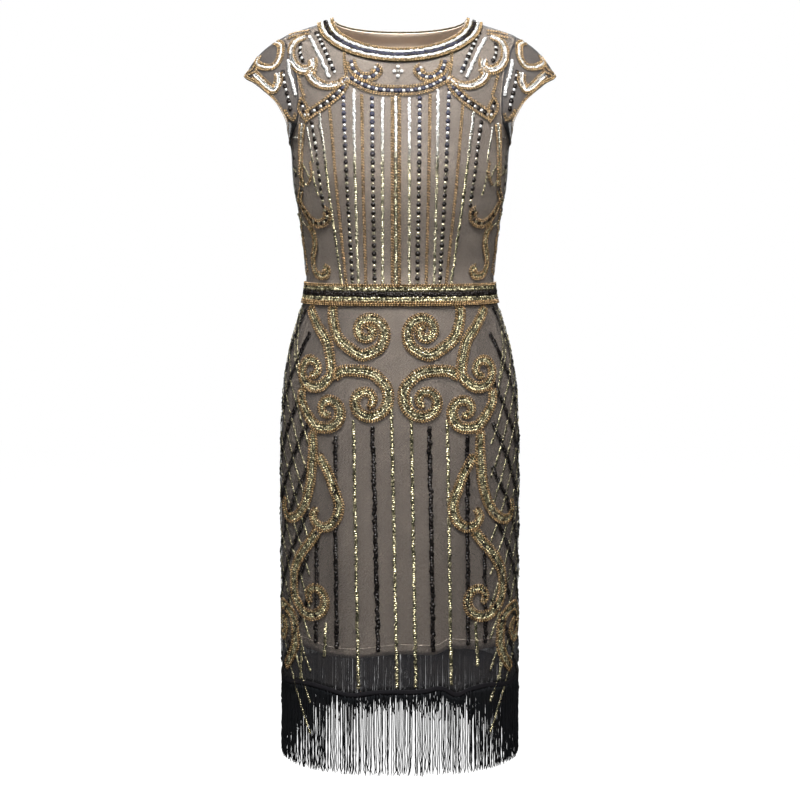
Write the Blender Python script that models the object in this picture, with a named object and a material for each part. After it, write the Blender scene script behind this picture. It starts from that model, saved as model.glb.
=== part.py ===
"""A knee-length sheath dress of beaded net over a jersey slip, with cap sleeves, a
sequin neckband and waistband, and a corded fringe hem. It is filled out as when worn.

Metres, +Z up. The origin lies midway between the two shoulder seams, at the height of
the neckline's sides, so that the dress hangs below it. The front faces -Y. Every piece
is a closed wall whose outer and inner faces follow one body surface, moved out or in
along its normals, so that neighbours keep an even gap.
"""

import math

import bpy
import numpy as np

# The body surface: horizontal sections, each two half superellipses that share a width.
SECTIONS = (
    # drop, half width, front depth, back depth
    (0.0000, 0.0925, 0.024, 0.034),
    (0.0060, 0.1120, 0.030, 0.053),
    (0.0140, 0.1380, 0.037, 0.069),
    (0.0250, 0.1650, 0.047, 0.080),
    (0.0480, 0.1730, 0.071, 0.091),
    (0.0750, 0.1755, 0.088, 0.099),
    (0.1150, 0.1730, 0.101, 0.106),
    (0.1500, 0.1640, 0.112, 0.109),
    (0.1800, 0.1537, 0.121, 0.109),
    (0.2150, 0.1520, 0.128, 0.106),
    (0.2600, 0.1455, 0.123, 0.100),
    (0.3100, 0.1380, 0.112, 0.093),
    (0.3565, 0.1334, 0.104, 0.087),
    (0.3800, 0.1352, 0.105, 0.089),
    (0.4200, 0.1465, 0.109, 0.099),
    (0.4650, 0.1588, 0.113, 0.111),
    (0.5300, 0.1678, 0.117, 0.123),
    (0.6200, 0.1714, 0.118, 0.127),
    (0.7900, 0.1716, 0.118, 0.124),
    (0.9300, 0.1726, 0.120, 0.120),
    (1.0600, 0.1734, 0.121, 0.119),
)
ROUNDNESS = 2.3  # the exponent of the sections: 2 is an ellipse, more is squarer

# The armhole, from the shoulder point down to the underarm.
ARMHOLE = (
    # drop, distance from the centre plane
    (0.025, 0.1650),
    (0.045, 0.1520),
    (0.075, 0.1425),
    (0.115, 0.1380),
    (0.142, 0.1390),
    (0.157, 0.1450),
    (0.169, 0.1512),
    (0.180, 0.1537),
)

# The sleeve's hem, front half: the back half mirrors it. One row for each armhole drop.
SLEEVE_HEM = (
    # armhole drop, x, distance forward, drop
    (0.0250, 0.2180, 0.000, 0.0800),
    (0.0360, 0.2140, 0.018, 0.0825),
    (0.0550, 0.2020, 0.034, 0.0890),
    (0.0850, 0.1850, 0.050, 0.1020),
    (0.1150, 0.1690, 0.062, 0.1185),
    (0.1400, 0.1570, 0.065, 0.1390),
    (0.1570, 0.1540, 0.055, 0.1530),
    (0.1690, 0.1535, 0.039, 0.1630),
    (0.1765, 0.1540, 0.020, 0.1695),
    (0.1800, 0.1545, 0.000, 0.1720),
)
SLEEVE_BULGE = (0.70, 0.40, 0.33)  # how far across, back and down its crown has come halfway

# Lengths, as drops below the origin.
SHOULDER_DROP = ARMHOLE[0][0]
UNDERARM_DROP = ARMHOLE[-1][0]
BAND_TOP_DROP = 0.3680
WAIST_SEAM_DROP = 0.3825
BAND_FOOT_DROP = 0.3965
SLIP_HEM_DROP = 0.8810
NET_HEM_DROP = 0.9290
HEADING_FOOT_DROP = 0.9360
FRINGE_TIP_DROP = 1.0550

# The neckline, and the beaded band that runs round it.
NECK_HALF_WIDTH = SECTIONS[0][1]
FRONT_NECK_DROP = 0.0480
BACK_NECK_DROP = 0.0100
NECKBAND_SIDE = 0.0220
NECKBAND_CENTRE = 0.0190

# Walls and the gaps between them.
SEAM_GAP = 0.0003
NET_WALL = 0.0010
SLIP_WALL = 0.0010
SLIP_GAP = 0.0004
BAND_WALL = 0.0012
WAISTBAND_GAP = 0.0006
NECKBAND_GAP = 0.0012
HEADING_WALL = 0.0022
FRINGE_WALL = 0.0040

# How finely the sheets are cut: columns on each half of a panel, and rows by their drop
# at the panel's outer edge.
COLUMNS = 7
NECK_COLUMNS = 5
BODICE_ROWS = (
    (WAIST_SEAM_DROP, BAND_TOP_DROP, 0.335, 0.300, 0.262, 0.225, 0.198)
    + tuple(row[0] for row in reversed(SLEEVE_HEM))
)
SKIRT_ROWS = (
    WAIST_SEAM_DROP, BAND_FOOT_DROP, 0.415, 0.440, 0.470, 0.505,
    0.550, 0.620, 0.710, 0.800, SLIP_HEM_DROP, NET_HEM_DROP,
)
FAN_START_DROP = 0.250  # above this the panel's columns lean towards the neck
SLEEVE_STEPS = 5
FRINGE_ROWS = 4
FRONT, BACK = -1.0, 1.0


def through(knots, values, at):
    """A smooth curve through a table's rows that never swings past them."""
    knots, values, at = np.asarray(knots), np.asarray(values), np.asarray(at, float)
    step = np.diff(knots)
    rise = np.diff(values) / step
    slope = np.concatenate([rise[:1], np.zeros(len(rise) - 1), rise[-1:]])
    same_way = rise[:-1] * rise[1:] > 0
    before, after = rise[:-1][same_way], rise[1:][same_way]
    wide = (2 * step[1:] + step[:-1])[same_way]
    narrow = (step[1:] + 2 * step[:-1])[same_way]
    slope[1:-1][same_way] = (wide + narrow) / (wide / before + narrow / after)
    k = np.clip(np.searchsorted(knots, at, side="right") - 1, 0, len(step) - 1)
    t = (at - knots[k]) / step[k]
    return (
        values[k] * (1 + 2 * t) * (1 - t) ** 2
        + values[k + 1] * t * t * (3 - 2 * t)
        + step[k] * t * (1 - t) * (slope[k] * (1 - t) - slope[k + 1] * t)
    )


def half_width(drop):
    table = np.array(SECTIONS)
    return through(table[:, 0], table[:, 1], drop)


def depth(drop, side):
    table = np.array(SECTIONS)
    return through(table[:, 0], table[:, 2 if side == FRONT else 3], drop)


def outline_drop(x):
    """Where the dome of the shoulders is x wide: the shoulder seam runs along there."""
    drops = np.linspace(0, SHOULDER_DROP, 200)
    return np.interp(x, half_width(drops), drops)


def on_body(x, drop, side):
    """Points of the body surface, and its outward normals there."""
    x, drop = np.broadcast_arrays(np.asarray(x, float), np.asarray(drop, float))
    a, b = half_width(drop), depth(drop, side)
    across = np.minimum(np.abs(x / a), 1.0) ** ROUNDNESS
    y = side * b * (1 - across) ** (1 / ROUNDNESS)
    tiny = 1e-5
    a_slope = (half_width(drop + tiny) - half_width(drop - tiny)) / (2 * tiny)
    b_slope = (depth(drop + tiny, side) - depth(drop - tiny, side)) / (2 * tiny)
    normal = np.stack(
        [
            np.sign(x) * np.abs(x / a) ** (ROUNDNESS - 1) / a,
            side * np.abs(y / b) ** (ROUNDNESS - 1) / b,
            across * a_slope / a + (1 - across) * b_slope / b,
        ],
        axis=-1,
    )
    normal /= np.linalg.norm(normal, axis=-1, keepdims=True)
    # The side and shoulder seams lie in the plane y = 0, with half the gap on each side.
    y = side * np.maximum(np.abs(y), SEAM_GAP / 2)
    return np.stack([x, y, -drop], axis=-1), normal


def column_spread():
    """Each column's share of the half width, so that the columns are evenly spaced round."""
    turn = np.arange(-COLUMNS, COLUMNS + 1) / COLUMNS * math.pi / 2
    return np.sign(turn) * np.abs(np.sin(turn)) ** (2 / ROUNDNESS)


def panel_top(side):
    """Where the columns end: (x, drop) along the neckline and then the shoulder seam."""
    neck_drop = FRONT_NECK_DROP if side == FRONT else BACK_NECK_DROP
    shoulder_x = ARMHOLE[0][1]
    ends = []
    for j in range(-COLUMNS, COLUMNS + 1):
        if abs(j) <= NECK_COLUMNS:
            turn = j / NECK_COLUMNS * math.pi / 2
            ends.append((NECK_HALF_WIDTH * math.sin(turn), neck_drop * math.cos(turn)))
        else:
            along = (abs(j) - NECK_COLUMNS) / (COLUMNS - NECK_COLUMNS)
            x = NECK_HALF_WIDTH + (shoulder_x - NECK_HALF_WIDTH) * along
            ends.append((math.copysign(x, j), float(outline_drop(x))))
    return np.array(ends).T


def bodice_grid(side):
    """Points and normals from the waist seam up to the neckline and the shoulder seam."""
    top_x, top_drop = panel_top(side)
    rows = np.array(BODICE_ROWS)
    armhole = np.array(ARMHOLE)
    in_armhole = through(armhole[:, 0], armhole[:, 1], np.minimum(rows, UNDERARM_DROP))
    edge_x = np.where(rows < UNDERARM_DROP, in_armhole, half_width(rows))
    share = (WAIST_SEAM_DROP - rows) / (WAIST_SEAM_DROP - SHOULDER_DROP)
    lean = np.clip((FAN_START_DROP - rows) / (FAN_START_DROP - SHOULDER_DROP), 0, 1)
    x = (1 - lean[:, None]) * edge_x[:, None] * column_spread() + lean[:, None] * top_x
    x[:, 0], x[:, -1] = -edge_x, edge_x
    drop = WAIST_SEAM_DROP + (top_drop - WAIST_SEAM_DROP) * share[:, None]
    drop[0] -= SEAM_GAP / 2
    return on_body(x, drop, side)


def skirt_grid(side, rows=SKIRT_ROWS):
    """Points and normals from the first of the rows' drops down to the last."""
    drop = np.array(rows)[:, None] + np.zeros(2 * COLUMNS + 1)
    if rows[0] == WAIST_SEAM_DROP:
        drop[0] += SEAM_GAP / 2
    return on_body(half_width(drop) * column_spread(), drop, side)


def round_the_body(grid, *args):
    """The front's and the back's grids joined into one that runs all the way round."""
    front, front_normal = grid(FRONT, *args)
    back, back_normal = grid(BACK, *args)
    points = np.concatenate([front[:, :-1], back[:, :0:-1]], axis=1)
    normals = np.concatenate([front_normal[:, :-1], back_normal[:, :0:-1]], axis=1)
    points[:, [0, front.shape[1] - 1], 1] = 0.0  # on the side seams the two halves meet
    return points, normals


def outside_faces(points, ring):
    """Triangles over a grid of points, each cell split along its shorter diagonal. A
    ring's last column meets its first."""
    rows, columns = points.shape[:2]
    place = points.reshape(-1, 3)
    faces = []
    for i in range(rows - 1):
        for j in range(columns if ring else columns - 1):
            following = (j + 1) % columns
            a, b = i * columns + j, i * columns + following
            d, c = a + columns, b + columns
            falling = np.linalg.norm(place[a] - place[c])
            rising = np.linalg.norm(place[b] - place[d])
            if falling <= rising:
                faces += [(a, b, c), (a, c, d)]
            else:
                faces += [(a, b, d), (b, c, d)]
    return faces


def add_wall(name, grid, outer_at, wall, material, ring=False):
    """A closed wall over a grid: its outer face stands outer_at off the body surface."""
    points, normals = grid
    outer = (points + outer_at * normals).reshape(-1, 3)
    inner = (points + (outer_at - wall) * normals).reshape(-1, 3)
    count = len(outer)
    outside = outside_faces(points, ring)
    inside = [(c + count, b + count, a + count) for a, b, c in outside]
    edges = {(face[k - 1], face[k]) for face in outside for k in range(3)}
    rim = []
    for u, v in sorted(edges):
        if (v, u) not in edges:
            rim += [(v, u, u + count), (v, u + count, v + count)]
    faces = outside + inside + rim
    vertices = np.concatenate([outer, inner])
    if np.linalg.det(vertices[np.array(faces)]).sum() < 0:
        faces = [face[::-1] for face in faces]
    mesh = bpy.data.meshes.new(name)
    mesh.from_pydata(vertices.tolist(), [], faces)
    mesh.materials.append(material)
    mesh.shade_smooth()
    mesh.set_sharp_from_angle(angle=math.radians(50))
    obj = bpy.data.objects.new(name, mesh)
    bpy.context.collection.objects.link(obj)


def neckband_grid():
    """Points and normals round the neckline, from its edge to the band's outer edge."""
    columns = 2 * NECK_COLUMNS + 1
    turn = np.linspace(-math.pi / 2, math.pi / 2, 2 * columns - 1)
    across = np.array([0.0, 0.5, 1.0])[:, None]
    side_x = NECK_HALF_WIDTH + NECKBAND_SIDE * across
    side_drop = outline_drop(side_x)
    halves = []
    for side, neck_drop in ((FRONT, FRONT_NECK_DROP), (BACK, BACK_NECK_DROP)):
        centre_drop = neck_drop + NECKBAND_CENTRE * across
        drop = side_drop + (centre_drop - side_drop) * np.cos(turn)
        halves.append(on_body(side_x * np.sin(turn), drop, side))
    (front, front_normal), (back, back_normal) = halves
    points = np.concatenate([front[:, :-1], back[:, :0:-1]], axis=1)
    normals = np.concatenate([front_normal[:, :-1], back_normal[:, :0:-1]], axis=1)
    points[:, [0, front.shape[1] - 1], 1] = 0.0
    return points, normals


def armhole_loop():
    """The armhole at +X, front half down and back half up: points, normals, ways out."""
    rows = len(SLEEVE_HEM)
    halves = []
    for side in (FRONT, BACK):
        points, normals = bodice_grid(side)
        edge, edge_normal = points[-rows:, -1][::-1], normals[-rows:, -1][::-1]
        edge[[0, -1], 1] = 0.0
        halves.append((edge, edge_normal))
    (front, front_normal), (back, back_normal) = halves
    points = np.concatenate([front, back[-2:0:-1]])
    normals = np.concatenate([front_normal, back_normal[-2:0:-1]])
    along = np.roll(points, -1, axis=0) - np.roll(points, 1, axis=0)
    out = np.cross(normals, along)
    out /= np.linalg.norm(out, axis=1, keepdims=True)
    middle = points.mean(axis=0)
    inward = np.einsum("ij,ij->i", out, middle - points)
    out[inward < 0] *= -1
    return points, normals, out


def sleeve_hem_loop():
    hem = np.array(SLEEVE_HEM)
    front = np.stack([hem[:, 1], -hem[:, 2], -hem[:, 3]], axis=1)
    back = front * (1, -1, 1)
    return np.concatenate([front, back[-2:0:-1]])


def add_sleeve(name, mirrored, material):
    """A cap sleeve: a short crown from the armhole to its hem, narrowing under the arm."""
    edge, edge_normal, out = armhole_loop()
    start = edge + SEAM_GAP * out
    hem = sleeve_hem_loop()
    crown = start + (hem - start) * SLEEVE_BULGE
    rows = []
    for k in range(SLEEVE_STEPS + 1):
        t = k / SLEEVE_STEPS
        rows.append((1 - t) ** 2 * start + 2 * t * (1 - t) * crown + t * t * hem)
    points = np.array(rows)
    down = np.gradient(points, axis=0)
    around = np.roll(points, -1, axis=1) - np.roll(points, 1, axis=1)
    normals = np.cross(around, down)
    normals /= np.linalg.norm(normals, axis=2, keepdims=True)
    normals[0] = edge_normal
    facing = np.einsum("rci,ci->rc", normals, edge_normal)
    normals[facing < 0] *= -1
    if mirrored:
        points, normals = points * (-1, 1, 1), normals * (-1, 1, 1)
    add_wall(name, (points, normals), 0.0, NET_WALL, material, ring=True)


def make_material(name, colour, roughness, metallic=0.0):
    material = bpy.data.materials.new(name)
    material.use_nodes = True
    shader = material.node_tree.nodes["Principled BSDF"]
    shader.inputs["Base Color"].default_value = (*colour, 1.0)
    shader.inputs["Roughness"].default_value = roughness
    shader.inputs["Metallic"].default_value = metallic
    return material


def main():
    for old in list(bpy.data.objects):
        bpy.data.objects.remove(old)
    net = make_material("beaded_net", (0.14, 0.11, 0.075), 0.6)
    jersey = make_material("slip_jersey", (0.42, 0.33, 0.25), 0.8)
    braid = make_material("sequin_braid", (0.55, 0.40, 0.16), 0.3, 0.9)
    cord = make_material("fringe_cord", (0.008, 0.009, 0.011), 0.5)

    for part, side in (("front", FRONT), ("back", BACK)):
        bodice = bodice_grid(side)
        add_wall(f"bodice_{part}", bodice, 0.0, NET_WALL, net)
        add_wall(f"skirt_{part}", skirt_grid(side), 0.0, NET_WALL, net)
        below_seam = skirt_grid(side, SKIRT_ROWS[1:-1])
        slip = [
            np.concatenate([above[::-1], below]) for above, below in zip(bodice, below_seam)
        ]
        add_wall(f"slip_{part}", slip, -NET_WALL - SLIP_GAP, SLIP_WALL, jersey)

    add_sleeve("sleeve_left", False, net)
    add_sleeve("sleeve_right", True, net)

    neckband_at = NECKBAND_GAP + BAND_WALL
    add_wall("neckband", neckband_grid(), neckband_at, BAND_WALL, braid, ring=True)
    above_waist, below_waist = round_the_body(bodice_grid), round_the_body(skirt_grid)
    waist = [
        np.concatenate([above[1:2], below[:2]])
        for above, below in zip(above_waist, below_waist)
    ]
    waistband_at = WAISTBAND_GAP + BAND_WALL
    add_wall("waistband", waist, waistband_at, BAND_WALL, braid, ring=True)

    heading_drops = (NET_HEM_DROP + SEAM_GAP, HEADING_FOOT_DROP)
    heading = round_the_body(skirt_grid, heading_drops)
    add_wall("fringe_heading", heading, NET_WALL / 2, HEADING_WALL, cord, ring=True)
    fringe_drops = np.linspace(HEADING_FOOT_DROP + SEAM_GAP, FRINGE_TIP_DROP, FRINGE_ROWS)
    fringe = round_the_body(skirt_grid, tuple(fringe_drops))
    add_wall("fringe", fringe, FRINGE_WALL / 4, FRINGE_WALL, cord, ring=True)


main()
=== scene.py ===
# %% [markdown]
# # A beaded flapper dress
# The dress is black net, embroidered with sequins and beads, over a plain jersey slip.
# It is filled out as if somebody wore it. It could be draped by a cloth simulation over a
# hidden body. Here every piece is laid on one worked-out surface instead: the dress is
# closely fitted, its seams have to meet exactly, and each run has to give the same
# result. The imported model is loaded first, as the frame for all of this.

# %% Load the frame
import math

import bpy
import numpy as np
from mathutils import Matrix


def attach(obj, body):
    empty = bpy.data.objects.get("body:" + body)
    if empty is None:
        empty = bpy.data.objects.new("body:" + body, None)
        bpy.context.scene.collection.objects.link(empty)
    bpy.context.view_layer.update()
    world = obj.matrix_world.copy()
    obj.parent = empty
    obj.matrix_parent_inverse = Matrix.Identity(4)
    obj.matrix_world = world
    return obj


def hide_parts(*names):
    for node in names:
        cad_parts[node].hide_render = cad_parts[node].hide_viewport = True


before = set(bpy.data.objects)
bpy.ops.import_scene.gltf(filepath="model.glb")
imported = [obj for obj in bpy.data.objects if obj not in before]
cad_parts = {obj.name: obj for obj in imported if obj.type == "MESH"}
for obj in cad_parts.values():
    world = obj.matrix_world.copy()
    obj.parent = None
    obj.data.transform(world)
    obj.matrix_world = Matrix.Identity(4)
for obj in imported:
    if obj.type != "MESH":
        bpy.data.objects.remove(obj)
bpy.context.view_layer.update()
for loaded in bpy.context.selected_objects:
    loaded.select_set(False)
FRONT, BACK = -1.0, 1.0
MM = 0.001
chance = np.random.default_rng(1925)
print("nodes:", sorted(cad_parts))

# %% [markdown]
# ## The camera
# A long lens stands a little over two metres in front of the dress, at the height of the
# chest, and looks slightly down, so the hem shows as a shallow bow. A short lens close by
# would fill the frame as well, but it would swell the middle of the dress.

# %% Camera
LENS, SENSOR_WIDTH = 69.18, 36.0  # millimetres
CAMERA_AWAY, CAMERA_DROP, LOOK_DOWN = 2.2, 0.289, 6.406  # metres, metres, degrees
camera_data = bpy.data.cameras.new("camera")
camera_data.lens = LENS
camera_data.sensor_width = SENSOR_WIDTH
camera = bpy.data.objects.new("camera", camera_data)
bpy.context.collection.objects.link(camera)
camera.location = (0.0, -CAMERA_AWAY, -CAMERA_DROP)
camera.rotation_euler = (math.radians(90 - LOOK_DOWN), 0, 0)
bpy.context.scene.camera = camera
print("camera at", tuple(camera.location))

# %% [markdown]
# ## The body surface
# Everything on this garment follows one surface. It is a stack of rounded sections, each
# a front half and a back half that share one width. A turn of 0 is the centre front,
# a quarter turn either way is the side seam, and half a turn is the centre back. A cage
# shaped by hand could do the same for the cloth alone. The sections are used because any
# turn and drop gives an exact point and its normal, which every stitch needs.

# %% Sections
SECTIONS = np.array([
    # drop, half width, front depth, back depth
    (0.0000, 0.0925, 0.024, 0.034),
    (0.0060, 0.1120, 0.030, 0.053),
    (0.0140, 0.1380, 0.037, 0.069),
    (0.0250, 0.1650, 0.047, 0.080),
    (0.0480, 0.1730, 0.071, 0.091),
    (0.0750, 0.1755, 0.088, 0.099),
    (0.1150, 0.1730, 0.101, 0.106),
    (0.1500, 0.1640, 0.112, 0.109),
    (0.1800, 0.1537, 0.121, 0.109),
    (0.2150, 0.1520, 0.128, 0.106),
    (0.2600, 0.1455, 0.123, 0.100),
    (0.3100, 0.1380, 0.112, 0.093),
    (0.3565, 0.1334, 0.104, 0.087),
    (0.3800, 0.1352, 0.105, 0.089),
    (0.4200, 0.1465, 0.109, 0.099),
    (0.4650, 0.1588, 0.113, 0.111),
    (0.5300, 0.1678, 0.117, 0.123),
    (0.6200, 0.1714, 0.118, 0.127),
    (0.7900, 0.1716, 0.118, 0.124),
    (0.9300, 0.1726, 0.120, 0.120),
    (1.0600, 0.1734, 0.121, 0.119),
])
ROUNDNESS = 2.3
ARMHOLE = np.array([
    # drop, distance from the centre plane
    (0.025, 0.1650), (0.045, 0.1520), (0.075, 0.1425), (0.115, 0.1380),
    (0.142, 0.1390), (0.157, 0.1450), (0.169, 0.1512), (0.180, 0.1537),
])
SLEEVE_HEM = np.array([
    # armhole drop, x, distance forward, drop
    (0.0250, 0.2180, 0.000, 0.0800), (0.0360, 0.2140, 0.018, 0.0825),
    (0.0550, 0.2020, 0.034, 0.0890), (0.0850, 0.1850, 0.050, 0.1020),
    (0.1150, 0.1690, 0.062, 0.1185), (0.1400, 0.1570, 0.065, 0.1390),
    (0.1570, 0.1540, 0.055, 0.1530), (0.1690, 0.1535, 0.039, 0.1630),
    (0.1765, 0.1540, 0.020, 0.1695), (0.1800, 0.1545, 0.000, 0.1720),
])
SLEEVE_BULGE = np.array((0.70, 0.40, 0.33))
SHOULDER, UNDERARM = 0.0250, 0.1800
BAND_TOP, WAIST_SEAM, BAND_FOOT = 0.3680, 0.3825, 0.3965
SLIP_HEM, NET_HEM, FRINGE_TIP = 0.8810, 0.9290, 1.0550
NECK_HALF_WIDTH, FRONT_NECK, BACK_NECK = 0.0925, 0.0480, 0.0100
FAN_START = 0.250


def through(knots, values, at):
    """A smooth curve through a table's rows that never swings past them."""
    knots, values, at = np.asarray(knots), np.asarray(values), np.asarray(at, float)
    step = np.diff(knots)
    rise = np.diff(values) / step
    slope = np.concatenate([rise[:1], np.zeros(len(rise) - 1), rise[-1:]])
    same_way = rise[:-1] * rise[1:] > 0
    before, after = rise[:-1][same_way], rise[1:][same_way]
    wide = (2 * step[1:] + step[:-1])[same_way]
    narrow = (step[1:] + 2 * step[:-1])[same_way]
    slope[1:-1][same_way] = (wide + narrow) / (wide / before + narrow / after)
    k = np.clip(np.searchsorted(knots, at, side="right") - 1, 0, len(step) - 1)
    t = (at - knots[k]) / step[k]
    return (
        values[k] * (1 + 2 * t) * (1 - t) ** 2
        + values[k + 1] * t * t * (3 - 2 * t)
        + step[k] * t * (1 - t) * (slope[k] * (1 - t) - slope[k + 1] * t)
    )


def half_width(drop):
    return through(SECTIONS[:, 0], SECTIONS[:, 1], drop)


def depth(drop, side):
    return through(SECTIONS[:, 0], SECTIONS[:, 2 if side == FRONT else 3], drop)


print("waist half width", float(half_width(WAIST_SEAM)))

# %% [markdown]
# ## Creases
# The dress hangs nearly smooth, with a few soft pulls: fans at the bust and under the
# arms, drags below the waistband, and long shallow swings in the skirt. Each is a line
# with its own depth and width. A trough is negative, a ridge positive. They could be
# sculpted, but the embroidery would then have to be fitted to them again. Here they are
# part of the surface, so cloth and stitches rise and fall together.

# %% Creases
CREASES = np.array([
    # turn and drop at one end, turn and drop at the other, height mm, width mm
    (-1.45, 0.205, -0.95, 0.235, -1.6, 7), (-1.50, 0.230, -1.10, 0.262, 1.2, 6),
    (-1.48, 0.262, -1.05, 0.285, -1.4, 6), (-1.52, 0.300, -1.20, 0.318, 1.1, 5),
    (1.46, 0.200, 1.02, 0.226, -1.4, 7), (1.52, 0.236, 1.00, 0.258, 1.3, 6),
    (1.47, 0.270, 1.12, 0.300, -1.6, 6), (1.53, 0.312, 1.22, 0.326, 1.0, 5),
    (-0.62, 0.415, -0.70, 0.560, -1.8, 11), (-0.30, 0.405, -0.26, 0.500, 1.2, 10),
    (0.34, 0.410, 0.42, 0.590, -1.7, 12), (0.72, 0.405, 0.66, 0.520, 1.3, 9),
    (-1.05, 0.420, -1.25, 0.640, 1.6, 12), (1.08, 0.425, 1.22, 0.610, 1.7, 13),
    (-0.46, 0.640, -0.40, 0.900, 2.4, 16), (-0.14, 0.600, -0.10, 0.880, -2.0, 14),
    (0.20, 0.660, 0.26, 0.925, 1.9, 13), (0.55, 0.610, 0.60, 0.905, -2.3, 15),
    (-0.92, 0.680, -0.96, 0.925, -2.2, 15), (0.98, 0.650, 0.94, 0.925, 2.1, 14),
    (-1.36, 0.560, -1.40, 0.900, 1.8, 13), (1.40, 0.540, 1.34, 0.905, -1.9, 12),
    (-1.90, 0.420, -2.05, 0.620, -1.7, 12), (-2.40, 0.410, -2.32, 0.560, 1.5, 11),
    (-2.85, 0.415, -2.95, 0.640, -1.6, 13), (2.75, 0.408, 2.82, 0.540, 1.4, 10),
    (2.25, 0.412, 2.12, 0.600, -1.8, 12), (1.82, 0.430, 1.88, 0.650, 1.3, 12),
    (-1.86, 0.690, -1.92, 0.925, 2.0, 14), (-2.42, 0.640, -2.36, 0.900, -2.2, 15),
    (-2.95, 0.700, -2.90, 0.925, 1.8, 14), (2.62, 0.620, 2.70, 0.890, -2.0, 16),
    (2.10, 0.670, 2.04, 0.925, 2.1, 13), (-1.80, 0.215, -2.15, 0.250, -1.3, 7),
    (1.78, 0.222, 2.20, 0.262, -1.5, 8), (-1.72, 0.280, -2.02, 0.305, 1.1, 6),
    (1.74, 0.290, 2.10, 0.318, 1.2, 6), (-0.24, 0.150, -0.62, 0.205, 0.8, 12),
    (0.30, 0.158, 0.66, 0.215, 0.8, 12), (2.95, 0.060, 2.60, 0.180, -1.2, 12),
    (-2.90, 0.050, -2.66, 0.165, 1.0, 11), (3.10, 0.230, 3.05, 0.345, -1.5, 11),
])
TURN_REACH = 0.15  # metres round the body for one radian of turn, roughly
CREASE_FADE = 0.6  # how fast a crease dies out from its deepest place to its ends


def crease(turn, drop):
    """How far the cloth stands off the body surface there, in metres."""
    turn, drop = np.broadcast_arrays(turn, drop)
    height = np.zeros(turn.shape)
    for turn_0, drop_0, turn_1, drop_1, tall, wide in CREASES:
        away = (turn - turn_0 + math.pi) % (2 * math.pi) - math.pi
        across, down = away * TURN_REACH, drop - drop_0
        run, fall = (turn_1 - turn_0) * TURN_REACH, drop_1 - drop_0
        share = (across * run + down * fall) / (run * run + fall * fall)
        nearest = np.clip(share, 0.0, 1.0)
        off = np.hypot(across - nearest * run, down - nearest * fall)
        fade = 1 - CREASE_FADE * np.abs(2 * nearest - 0.8)
        height += tall * MM * fade * np.exp(-((off / (wide * MM)) ** 2))
    return height


def body(turn, drop, off=0.0):
    """Points of the creased surface at these turns and drops, and normals there."""
    turn, drop = np.broadcast_arrays(np.asarray(turn, float), np.asarray(drop, float))
    sine, cosine = np.sin(turn), np.cos(turn)
    a = half_width(drop)
    front, back = depth(drop, FRONT), depth(drop, BACK)
    b = np.where(cosine >= 0, front, back)
    power = 2 / ROUNDNESS
    x = a * np.sign(sine) * np.abs(sine) ** power
    y = -b * np.sign(cosine) * np.abs(cosine) ** power
    tiny = 1e-5
    a_slope = (half_width(drop + tiny) - half_width(drop - tiny)) / (2 * tiny)
    front_slope = (depth(drop + tiny, FRONT) - depth(drop - tiny, FRONT)) / (2 * tiny)
    back_slope = (depth(drop + tiny, BACK) - depth(drop - tiny, BACK)) / (2 * tiny)
    b_slope = np.where(cosine >= 0, front_slope, back_slope)
    normal = np.stack(
        [
            np.sign(sine) * np.abs(sine) ** (2 - power) / a,
            -np.sign(cosine) * np.abs(cosine) ** (2 - power) / b,
            sine**2 * a_slope / a + cosine**2 * b_slope / b,
        ],
        axis=-1,
    )
    normal /= np.linalg.norm(normal, axis=-1, keepdims=True)
    points = np.stack([x, y, -drop], axis=-1)
    lift = crease(turn, drop) + off
    return points + normal * lift[..., None], normal


def turn_across(x, drop, side):
    """The turn at a distance x from the centre plane, on the front or the back."""
    share = np.clip(np.abs(x) / half_width(drop), 0, 1)
    turn = np.sign(x) * np.arcsin(share ** (ROUNDNESS / 2))
    return turn if side == FRONT else np.where(x < 0, -math.pi, math.pi) - turn


print("creases:", len(CREASES))

# %% [markdown]
# ## Charts
# Embroidery is planned flat, like a pattern on paper. A chart takes a place on the paper
# to a place on the garment. One chart measures round the body with a tape, from the
# centre front or the centre back. Another is the view straight on, for the yoke. A
# sideways step on any chart is worked out from how the chart stretches there. Flat
# motifs could be shrink-wrapped to the cloth, but they would stretch with it, and the
# sequins on a real dress keep their spacing.

# %% Charts
TAPE_DROPS = np.linspace(0, 1.06, 213)  # a tape every 5 mm down
TAPE_TURNS = np.linspace(0, math.pi / 2, 121)
HIP_TAPE, FRINGE_TAPE = 120, 187  # the tapes 0.600 and 0.935 m down


def tape(side):
    """Distances round a quarter of each section, from its centre to the side seam."""
    a, b = half_width(TAPE_DROPS)[:, None], depth(TAPE_DROPS, side)[:, None]
    x = a * np.sin(TAPE_TURNS) ** (2 / ROUNDNESS)
    y = b * np.cos(TAPE_TURNS).clip(0) ** (2 / ROUNDNESS)
    steps = np.hypot(np.diff(x, axis=1), np.diff(y, axis=1))
    return np.concatenate([np.zeros((len(TAPE_DROPS), 1)), steps.cumsum(axis=1)], axis=1)


TAPES = {FRONT: tape(FRONT), BACK: tape(BACK)}


def read_tape(side, distance, drop):
    """The turn at each distance from the centre, and the quarter's whole length."""
    at = np.clip(drop / (TAPE_DROPS[1] - TAPE_DROPS[0]), 0, len(TAPE_DROPS) - 1.001)
    k, f = at.astype(int), (at % 1)[:, None]
    row = TAPES[side][k] * (1 - f) + TAPES[side][k + 1] * f
    j = np.clip((row < distance[:, None]).sum(axis=1), 1, len(TAPE_TURNS) - 1)
    n = np.arange(len(row))
    t = (distance - row[n, j - 1]) / (row[n, j] - row[n, j - 1])
    turn = TAPE_TURNS[j - 1] + t.clip(0, 1) * (TAPE_TURNS[1] - TAPE_TURNS[0])
    return turn, row[:, -1]


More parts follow.
